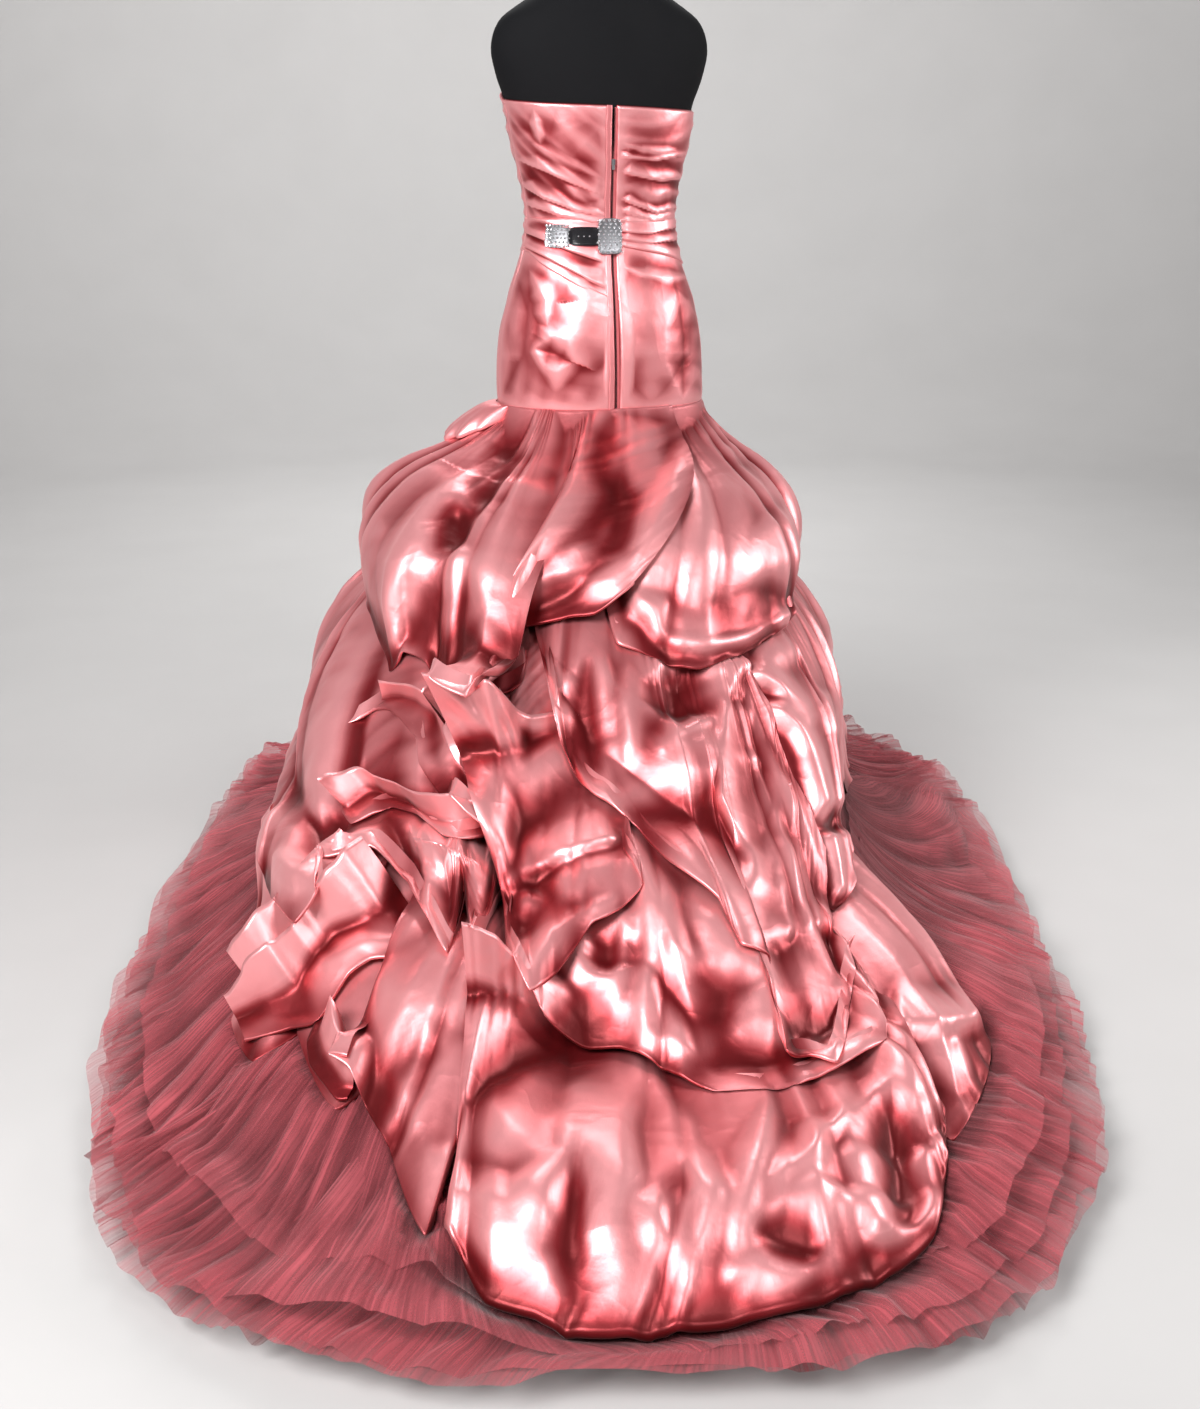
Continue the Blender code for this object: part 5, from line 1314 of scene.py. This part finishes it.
# Share of the reach, and drop below the hip seam, round the loop from the seam to the tip and back under.
LOOP_SECTION = np.array([
    (0.0, -0.002), (0.25, -0.004), (0.55, 0.000), (0.85, 0.006), (1.0, 0.012), (1.03, 0.017),
    (0.99, 0.022), (0.80, 0.024), (0.50, 0.026), (0.25, 0.030), (0.10, 0.036)])
section = soft_rows(LOOP_SECTION, np.linspace(0, len(LOOP_SECTION) - 1, 44))
reach, drop = section[:, :1], section[:, 1:]
across = np.linspace(0, 1, 90)[None, :]
loop_angle = np.radians(LOOP_SIDES[0] + (LOOP_SIDES[1] - LOOP_SIDES[0]) * across) + 0 * reach
window = np.sin(math.pi * across) ** 0.8 * (1 + 0.06 * np.sin(across * 37) * reach)
loop_z = HIP_SEAM_Z - drop * (0.3 + 0.7 * window) - 0.010 * reach * across
loop_z = loop_z - LOOP_DROOP * reach ** 1.5 * window
loop_creases = 0.0010 * creases(loop_angle * 0.2, reach * 0.2, 5, 0.05)
loop_out = 0.006 + LOOP_REACH * reach * window + loop_creases
loop = cloth("satin_hip_loop", figure_point(loop_angle, loop_z, loop_out))
# Painted highlight towards the loop's outer tip, and painted shade at the seam and under the loop.
store_painted_shade(loop, 0.5 + 0.3 * reach + 0 * across)
loop.data.materials.append(satin)
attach(loop, "gown")
print("loop faces", len(loop.data.polygons))

# %% [markdown]
# ## The tulle
#
# Under the satin is a plain tulle foundation. Below it spreads the flounce: yards of tulle gathered onto
# the foundation's edge, cut in layers of different lengths. Each layer here is a ring of waves that grow
# towards the hem, with fine gathers on them. The layers have different waves, so that they cross and
# thicken by chance.

# %% Gather the tulle's layers
TULLE_COLUMNS, TULLE_ROWS = 960, 30
LOBES = 92
OUTER_RING = 7.97
TULLE_ROOM, TULLE_RISE = 0.0025, 0.010
LAYERS = (
    # name, first ring, hem ring, lift at the hem, billows, their height
    ("tulle_layer_floor", 5.0, 7.90, 0.002, 17, 0.014),
    ("tulle_layer_low", 4.9, 7.82, 0.006, 14, 0.034),
    ("tulle_layer_mid", 4.8, 7.62, 0.010, 12, 0.052),
    ("tulle_layer_top", 4.6, 7.20, 0.016, 15, 0.060))


def round_noise(rng, places, angle):
    """Smooth random values round the skirt, between about -1 and 1."""
    values = rng.uniform(-1, 1, places)
    place = angle / (2 * math.pi) * places
    low = np.floor(place).astype(int)
    part = soft_step(place - low)
    return values[low % places] * (1 - part) + values[(low + 1) % places] * part


def tulle_layer(first, hem, lift, billows, high, seed):
    """One gathered layer, all the way round: billows with sharp valleys, and finer gathers on them."""
    rng = np.random.default_rng(seed)
    angle = np.linspace(0, 2 * math.pi, TULLE_COLUMNS, endpoint=False)[None, :]
    down = np.linspace(0, 1, TULLE_ROWS)[:, None]
    drift = (0.14 * round_noise(rng, 11, angle) + 0.05 * round_noise(rng, 29, angle)) * down ** 1.3
    wander = angle + 0.10 * round_noise(rng, 9, angle) + 0.06 * round_noise(rng, 23, angle) * down
    edge = (hem + 0.13 * round_noise(rng, 19, angle) + 0.08 * round_noise(rng, 61, angle)
            + 0.03 * round_noise(rng, 210, angle))
    ring = np.minimum(first + (edge - first) * down, OUTER_RING)
    grown = soft_step(down * 1.05)
    billow = np.abs(np.sin(wander * billows / 2)) ** 0.8 * (0.62 + 0.38 * round_noise(rng, 31, wander))
    billow = billow * (0.8 + 0.2 * np.sin(down * 7 + 5 * round_noise(rng, 12, wander)))
    uneven = 0.45 + 0.55 * round_noise(rng, 16, wander + 0.3 * down) ** 2
    sway = 0.05 * round_noise(rng, 44, wander) + 0.02 * round_noise(rng, 100, wander + 0.03 * down)
    gather = np.abs(np.sin((wander + sway) * LOBES / 2)) ** 0.7 * (0.7 + 0.3 * round_noise(rng, 73, wander))
    tight = 0.5 + 0.5 * round_noise(rng, 330, wander + 0.05 * down)
    fine = 0.024 * gather * (0.4 + 0.6 * uneven) + 0.003 * tight
    height = 0.004 + (lift + high * billow) * grown + fine * (0.25 + 0.75 * grown)
    ruffle = soft_step((down - 0.80) / 0.20)
    height = height + ruffle * (0.016 * (0.5 + 0.5 * round_noise(rng, 90, angle))
                                + 0.010 * (0.5 + 0.5 * round_noise(rng, 230, angle)))
    return angle + drift, ring, height


satin_grids = list(satin_points.values())
starts = np.cumsum([0] + [points.shape[0] * points.shape[1] for points in satin_grids])
satin_faces = [grid_faces(*points.shape[:2]) + start for points, start in zip(satin_grids, starts)]
satin_tree = BVHTree.FromPolygons(np.concatenate([points.reshape(-1, 3) for points in satin_grids]).tolist(),
                                  np.concatenate(satin_faces).tolist())


def tucked(foot, away, height, share):
    """The height of tulle, kept below the satin over it, and rising gently where the satin ends."""
    room = height.copy()
    for index in np.ndindex(height.shape):
        far = height[index] + TULLE_ROOM * 3
        distance = satin_tree.ray_cast(Vector(foot[index]), Vector(away[index]), far)[3]
        if distance is not None:
            room[index] = min(height[index], max(0.0, distance - TULLE_ROOM) * share)
    for reach in (1, 2, 4):
        for row, column in ((reach, 0), (-reach, 0), (0, reach), (0, -reach)):
            shifted = np.roll(padded_along(room, reach, 0), (row, column), (0, 1))[reach:len(room) + reach]
            room = np.minimum(room, shifted + TULLE_RISE * abs(row) + 0.4 * TULLE_RISE * abs(column))
    return room


tulle_pieces = []
for number, (name, *sizes) in enumerate(LAYERS):
    angle, ring, height = tulle_layer(*sizes, 11 + number)
    foot, away = skirt_foot(angle + 0 * ring, ring)
    height = tucked(foot, away, height, 0.25 * (number + 1))
    points = foot + away * height[..., None]
    points[..., 2] = np.maximum(points[..., 2], 0.0006 + 0.0004 * number)
    made = cloth(name, points, closed=True)
    # Painted shade in the hollows of the tulle's billows and gathers, and painted highlight on their crests.
    store_painted_shade(made, painted_shade_mask(height, 5, 0.005))
    made.data.materials.append(tulle)
    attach(made, "gown")
    tulle_pieces.append(made)
petticoat = cloth("petticoat_tulle", petticoat_points, closed=True)
store_painted_shade(petticoat, np.full(petticoat_points.shape[:2], 0.5))
petticoat.data.materials.append(lining_tulle)
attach(petticoat, "gown")
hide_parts("petticoat_back", "petticoat_right", "petticoat_front", "petticoat_left")
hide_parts("flounce_back", "flounce_right", "flounce_front", "flounce_left")
print("tulle layers", [made.name for made in tulle_pieces])

# %% [markdown]
# ## What repeats: stones, teeth and stitches
#
# The clasp is set with hundreds of small cut stones, the zip has teeth, and the satin is top-stitched. Each
# is one small shape set on many points, which is a job for Geometry Nodes. The points carry two directions,
# so that every stone faces outwards and every stitch follows its seam. The tree ends by making the
# instances real, because a model that leaves Blender can't hold them.

# %% Build the tree that sets a shape on points
def setting_tree():
    """Geometry Nodes: an instance of a shape on every point, turned by the point's own directions."""
    tree = bpy.data.node_groups.new("set on points", "GeometryNodeTree")
    face = tree.interface
    for title, kind in (("Geometry", "Geometry"), ("Shape", "Object"), ("Size", "Float"), ("Spread", "Float"),
                        ("Seed", "Int"), ("Finish", "Material")):
        face.new_socket(title, in_out="INPUT", socket_type="NodeSocket" + kind)
    face.new_socket("Geometry", in_out="OUTPUT", socket_type="NodeSocketGeometry")
    nodes, links = tree.nodes, tree.links
    given, result = nodes.new("NodeGroupInput"), nodes.new("NodeGroupOutput")
    points = nodes.new("GeometryNodeMeshToPoints")
    links.new(given.outputs["Geometry"], points.inputs["Mesh"])
    turn = None
    for name, axis in (("facing", "Z"), ("along", "X")):
        read = nodes.new("GeometryNodeInputNamedAttribute")
        read.data_type = "FLOAT_VECTOR"
        read.inputs["Name"].default_value = name
        align = nodes.new("FunctionNodeAlignRotationToVector")
        align.axis = axis
        align.pivot_axis = "AUTO" if turn is None else "Z"
        links.new(read.outputs["Attribute"], align.inputs["Vector"])
        if turn is not None:
            links.new(turn.outputs["Rotation"], align.inputs["Rotation"])
        turn = align
    chance = nodes.new("FunctionNodeRandomValue")
    chance.data_type = "FLOAT"
    low = nodes.new("ShaderNodeMath")
    low.operation = "SUBTRACT"
    links.new(given.outputs["Size"], low.inputs[0])
    links.new(given.outputs["Spread"], low.inputs[1])
    links.new(low.outputs[0], chance.inputs[2])
    links.new(given.outputs["Size"], chance.inputs[3])
    links.new(given.outputs["Seed"], chance.inputs["Seed"])
    shape = nodes.new("GeometryNodeObjectInfo")
    links.new(given.outputs["Shape"], shape.inputs["Object"])
    place = nodes.new("GeometryNodeInstanceOnPoints")
    links.new(points.outputs["Points"], place.inputs["Points"])
    links.new(shape.outputs["Geometry"], place.inputs["Instance"])
    links.new(turn.outputs["Rotation"], place.inputs["Rotation"])
    links.new(chance.outputs[1], place.inputs["Scale"])
    real = nodes.new("GeometryNodeRealizeInstances")
    links.new(place.outputs["Instances"], real.inputs["Geometry"])
    paint_it = nodes.new("GeometryNodeSetMaterial")
    links.new(real.outputs["Geometry"], paint_it.inputs["Geometry"])
    links.new(given.outputs["Finish"], paint_it.inputs["Material"])
    links.new(paint_it.outputs["Geometry"], result.inputs["Geometry"])
    return tree


setting = setting_tree()


def set_on_points(name, points, facing, along, shape, size, spread, finish, seed=3):
    """One mesh of a small shape on every point, turned to face out and to follow its line."""
    mesh = bpy.data.meshes.new(name + " points")
    mesh.from_pydata(np.asarray(points).reshape(-1, 3).tolist(), [], [])
    for title, values in (("facing", facing), ("along", along)):
        values = np.broadcast_to(values, np.asarray(points).shape).reshape(-1)
        mesh.attributes.new(title, "FLOAT_VECTOR", "POINT").data.foreach_set("vector", values)
    holder = bpy.data.objects.new(name + " holder", mesh)
    bpy.context.scene.collection.objects.link(holder)
    modifier = holder.modifiers.new("set on points", "NODES")
    modifier.node_group = setting
    values = {"Shape": shape, "Size": size, "Spread": spread, "Seed": seed, "Finish": finish}
    for item in setting.interface.items_tree:
        if item.in_out == "INPUT" and item.name in values:
            modifier[item.identifier] = values[item.name]
    evaluated = holder.evaluated_get(bpy.context.evaluated_depsgraph_get())
    made = bpy.data.objects.new(name, bpy.data.meshes.new_from_object(evaluated))
    bpy.context.scene.collection.objects.link(made)
    bpy.data.objects.remove(holder)
    made.data.name = name
    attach(made, "gown")
    return made


def hidden_shape(name, points, faces):
    """A small shape to set on points. It is removed when everything is set."""
    mesh = bpy.data.meshes.new(name)
    mesh.from_pydata(points, [], faces)
    made = bpy.data.objects.new(name, mesh)
    bpy.context.scene.collection.objects.link(made)
    made.hide_render = True
    return made


def turned_shape(name, profile, sides, stretch=1.0):
    """A small closed shape turned about Z from (radius, z) pairs, stretched along X."""
    points, faces = [], []
    for radius, z in profile:
        points += [(radius * math.cos(step * 2 * math.pi / sides) * stretch,
                    radius * math.sin(step * 2 * math.pi / sides), z) for step in range(sides)]
    for start in range(0, (len(profile) - 1) * sides, sides):
        for side in range(sides):
            after = (side + 1) % sides
            faces.append((start + side, start + after, start + sides + after, start + sides + side))
    faces.append(tuple(reversed(range(sides))))
    faces.append(tuple(range((len(profile) - 1) * sides, len(profile) * sides)))
    return hidden_shape(name, points, faces)


stone_shape = turned_shape("stone shape", ((0.30, -0.30), (0.50, 0.0), (0.46, 0.10), (0.26, 0.30)), 8)
stitch_shape = turned_shape("stitch shape", ((0.08, -0.10), (0.16, -0.02), (0.16, 0.06), (0.07, 0.13)), 6, 3.0)
tooth_shape = turned_shape("tooth shape", ((0.14, -0.2), (0.17, 0.0), (0.16, 0.16), (0.10, 0.24)), 6, 3.0)
print("stone, stitch and tooth ready")

# %% [markdown]
# ## The zip
#
# A fine zip runs down the centre back. It stands open above the slider, where the black form shows between
# its two tapes, and a narrow stitched placket lies beside it on the left. The slider and its pull tab come
# from the CAD model, because the tab is the gown's one moving part.

# %% Make the tapes and the placket
SLIDER_Z = 1.185
NECK_AT_ZIP = 1.2665
OPEN_HALF, CLOSED_HALF = 0.0016, 0.00015
TAPE_EDGE, TAPE_OUT = 0.0072, 0.0008
PLACKET_OUT = 0.0062
STRIP_ROWS = 190


def strip(name, inner, outer, z, out, finish):
    """A narrow strip down the back between two distances from the centre line, with a little crown."""
    across = np.linspace(0, 1, 7)[None, :]
    z = z[:, None] + 0 * across
    x = inner[:, None] * (1 - across) + outer[:, None] * across
    angle = side_edge(z, x)
    edge = np.minimum(across, 1 - across) * 6
    rise = out - 0.0014 * (1 - soft_step((edge + 0.2) / 1.2))
    foot, away = figure_foot(angle, z)
    made = cloth(name, foot + away * rise[..., None])
    store_painted_shade(made, np.full(z.shape, 0.62))
    made.data.materials.append(finish)
    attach(made, "gown")
    return made


zip_z = np.linspace(NECK_AT_ZIP, HIP_SEAM_Z - 0.003, STRIP_ROWS)
open_half = CLOSED_HALF + (OPEN_HALF - CLOSED_HALF) * soft_step((zip_z - SLIDER_Z - 0.004) / 0.030)
tape_edge = np.full(STRIP_ROWS, TAPE_EDGE)
tapes = [strip("zip_tape_left", -tape_edge, -open_half, zip_z, TAPE_OUT, tape),
         strip("zip_tape_right", open_half, tape_edge, zip_z, TAPE_OUT, tape)]
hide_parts("zip_tape")
placket_z = np.linspace(NECK_AT_ZIP + 0.003, HIP_SEAM_Z - 0.003, STRIP_ROWS)
sway = 0.0005 * np.sin(placket_z * 60) + 0.0003 * np.sin(placket_z * 171)
placket = strip("zip_placket", -0.0122 + sway, -0.0036 + sway * 0.5, placket_z, PLACKET_OUT, satin)
print("strips", [made.name for made in (*tapes, placket)])

# %% Set the teeth and the stitches
def on_back(x, z, out):
    """Points of the back at a distance from the centre line, and the way out there."""
    angle = side_edge(z, x)
    foot, away = figure_foot(angle, z)
    return foot + away * out, away


teeth_z = np.arange(NECK_AT_ZIP - 0.002, HIP_SEAM_Z, -0.0019)
teeth_open = np.interp(teeth_z, zip_z[::-1], open_half[::-1])
teeth_clear = np.abs(teeth_z - SLIDER_Z) > 0.0062
for side, name in ((-1, "zip_teeth_left"), (1, "zip_teeth_right")):
    points, away = on_back(side * (teeth_open + 0.0004), teeth_z + 0.00048 * side, 0.0011)
    set_on_points(name, points[teeth_clear], away[teeth_clear], (1.0, 0.0, 0.0), tooth_shape, 0.0026, 0.0,
                  steel)
stitch_z = np.arange(NECK_AT_ZIP - 0.001, HIP_SEAM_Z + 0.004, -0.0034)
stitch_sway = np.interp(stitch_z, placket_z[::-1], sway[::-1])
for x, name in ((-0.0110, "placket_stitches_left"), (-0.0048, "placket_stitches_right")):
    points, away = on_back(x + stitch_sway, stitch_z, PLACKET_OUT + 0.0001)
    set_on_points(name, points, away, (0.0, 0.0, 1.0), stitch_shape, 0.0026, 0.0003, thread)
for node_name in ("zip_slider", "zip_pull_tab"):
    give(node_name, silver)
print("teeth", 2 * int(teeth_clear.sum()), "stitches", 2 * len(stitch_z))

# %% [markdown]
# ## The clasp
#
# A jewelled clasp closes the waist: a small plate of stones, a black enamel strip, and a taller buckle of
# stones over the zip. Each metal part is a rounded plaque that follows the body, and the stones sit in rows
# on it, each a little different in size so that they sparkle.

# %% Make the clasp's plaques
CLASP_Z = 1.072
CLASP_OUT = 0.0035
PLAQUES = (
    # name, left and right edge in degrees, height, how far it stands out, finish, slot
    ("clasp_plate", -53.0, -31.3, 0.036, 0.0086, setting_metal, "silver"),
    ("clasp_strip", -32.5, -9.0, 0.029, 0.0092, enamel, "enamel"),
    ("clasp_buckle", -10.6, 6.5, 0.055, 0.0108, setting_metal, "silver"))
SQUARE = 5.0


def plaque_point(left, right, tall, across, up, out):
    """A point of a plaque, from its shares across and up, each from -1 to 1."""
    angle = np.radians((left + right) / 2 + (right - left) / 2 * across)
    return figure_point(angle, CLASP_Z + tall / 2 * up, out)


for name, left, right, tall, high, finish, slot in PLAQUES:
    turn = np.linspace(0, 2 * math.pi, 72, endpoint=False)[None, :]
    bed = high - 0.0006
    loops = np.array([(1.0, CLASP_OUT - 0.003), (1.0, high - 0.0008), (0.965, high), (0.93, high),
                      (0.90, bed), (0.7, bed), (0.4, bed), (0.15, bed)])
    size, out = loops[:, :1], loops[:, 1:]
    across = np.sign(np.sin(turn)) * np.abs(np.sin(turn)) ** (2 / SQUARE) * size
    up = np.sign(np.cos(turn)) * np.abs(np.cos(turn)) ** (2 / SQUARE) * size
    made = closed_ends(name + "_plaque", plaque_point(left, right, tall, across, up, out + 0 * turn)[::-1])
    made.data.materials.append(finish)
    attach(made, "gown")
    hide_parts(name)
print("plaques", [row[0] for row in PLAQUES])

# %% Set the stones
STONE_PITCH, STONE_SIZE, STONE_SPREAD = 0.0050, 0.0047, 0.0010
CLASP_RADIUS = 0.105
for name, left, right, tall, high, *_ in (PLAQUES[0], PLAQUES[2]):
    wide = math.radians(right - left) * CLASP_RADIUS
    columns, rows = int(wide * 0.92 / STONE_PITCH), int(tall * 0.92 / STONE_PITCH)
    up, across = np.meshgrid(np.linspace(0.88, -0.88, rows), np.linspace(-0.88, 0.88, columns), indexing="ij")
    across = across + (np.arange(rows)[:, None] % 2 - 0.5) * 0.7 / columns
    points = plaque_point(left, right, tall, across, up, np.full(up.shape, high - 0.0003))
    away = points - plaque_point(left, right, tall, across, up, np.full(up.shape, high - 0.0103))
    set_on_points(name + "_stones", points, away / 0.01, (0.0, 0.0, 1.0), stone_shape, STONE_SIZE, STONE_SPREAD,
                  gem)
strip_row = PLAQUES[1]
beads = np.array([(-0.35, 0.0), (0.0, 0.0), (0.35, 0.0)])
points = plaque_point(*strip_row[1:4], beads[:, 0], beads[:, 1], np.full(3, strip_row[4]))
set_on_points("clasp_strip_stones", points, (0.0, -1.0, 0.0), (0.0, 0.0, 1.0), stone_shape, 0.0030, 0.0,
              gem)
print("stones set")

# %% [markdown]
# ## How big each sheet of cloth was cut
#
# Whoever uses the gown as loose cloth has to know how big each piece was cut. A piece's cut is measured on
# its own grid: along its rows, down its columns, and over its whole area.

# %% Measure every sheet of cloth
# Widths and lengths are the mean run of the grid's rows and columns, and a tenth more.
CUT_MARGIN = 1.1


def declare(made):
    """A piece's name and the width and length it was cut to, the width widened where needed to hold its area.
    """
    points = grids[made.name]
    length = CUT_MARGIN * float(np.linalg.norm(np.diff(points, axis=0), axis=-1).sum(0).mean())
    width = CUT_MARGIN * float(np.linalg.norm(np.diff(points, axis=1), axis=-1).sum(1).mean())
    corners = np.cross(points[1:, 1:] - points[:-1, :-1], points[1:, :-1] - points[:-1, 1:])
    area = float(np.linalg.norm(corners, axis=-1).sum()) / 2
    width = max(width, area / length)
    return made.name, round(width, 3), round(length, 3)


sizes = []
for made in panels:
    sizes.append(declare(made))
sizes.append(declare(petticoat))
sizes += [declare(made) for made in tulle_pieces]
sizes += [declare(made) for made in satin_pieces.values()]
sizes.append(declare(loop))
for row in sizes:
    print(*row)

# %% [markdown]
# ## Light and floor
#
# A soft studio: one big light from the upper left, weaker ones from the front and the right, a rim light
# behind the gown, and one for the wall. The pale plain floor is round and curves up into a wall on every
# side, so the gown can be looked at from anywhere.

# %% Make the studio
def area_light(name, place, size, watts, target=(0.0, -0.5, 0.55)):
    """A square light that looks at the gown."""
    data = bpy.data.lights.new(name, "AREA")
    data.size, data.energy = size, watts
    made = bpy.data.objects.new(name, data)
    made.location = place
    made.rotation_euler = (Vector(target) - Vector(place)).to_track_quat("-Z", "Y").to_euler()
    bpy.context.scene.collection.objects.link(made)
    return made


area_light("key light", (-2.4, -2.5, 2.9), 1.8, 240.0)
area_light("front light", (0.9, -3.5, 2.7), 1.1, 45.0)
area_light("side light", (2.6, -0.6, 1.6), 1.0, 38.0)
area_light("rim light", (0.4, 2.2, 3.2), 1.4, 70.0)
area_light("wall light", (0.3, 3.0, 3.6), 2.0, 150.0, target=(1.2, 6.4, 0.8))

WALL_FAR, WALL_BEND, WALL_TALL = 6.5, 2.2, 5.0
profile = [(0.001, 0.0), (1.5, 0.0), (3.0, 0.0), (WALL_FAR - WALL_BEND, 0.0)]
for share in np.linspace(0, math.pi / 2, 24)[1:]:
    profile.append((WALL_FAR - WALL_BEND + WALL_BEND * math.sin(share), WALL_BEND * (1 - math.cos(share))))
profile.append((WALL_FAR, WALL_TALL))
way_round = np.linspace(0, 2 * math.pi, 96, endpoint=False)
floor_points = np.array([[(far * math.cos(turn), far * math.sin(turn), z) for turn in way_round]
                         for far, z in reversed(profile)])
floor = cloth("floor", floor_points, closed=True)
floor_finish, floor_shader, floor_place = new_finish("pale floor")
floor_tone = tone(floor_place, noise(floor_place, 3.0, 4.0), (0.43, 0.42, 0.415), (0.47, 0.46, 0.455))
floor_place.feed(floor_shader.inputs["Base Color"], floor_tone)
floor_shader.inputs["Roughness"].default_value = 0.7
floor.data.materials.append(floor_finish)

world = bpy.data.worlds.new("studio")
world.use_nodes = True
background = world.node_tree.nodes["Background"]
background.inputs["Color"].default_value = (0.75, 0.77, 0.80, 1)
background.inputs["Strength"].default_value = 0.14
bpy.context.scene.world = world
bpy.context.scene.view_settings.view_transform = "Standard"
print("studio ready")

# %% Remove the small shapes
for shape in (stone_shape, stitch_shape, tooth_shape):
    bpy.data.objects.remove(shape)
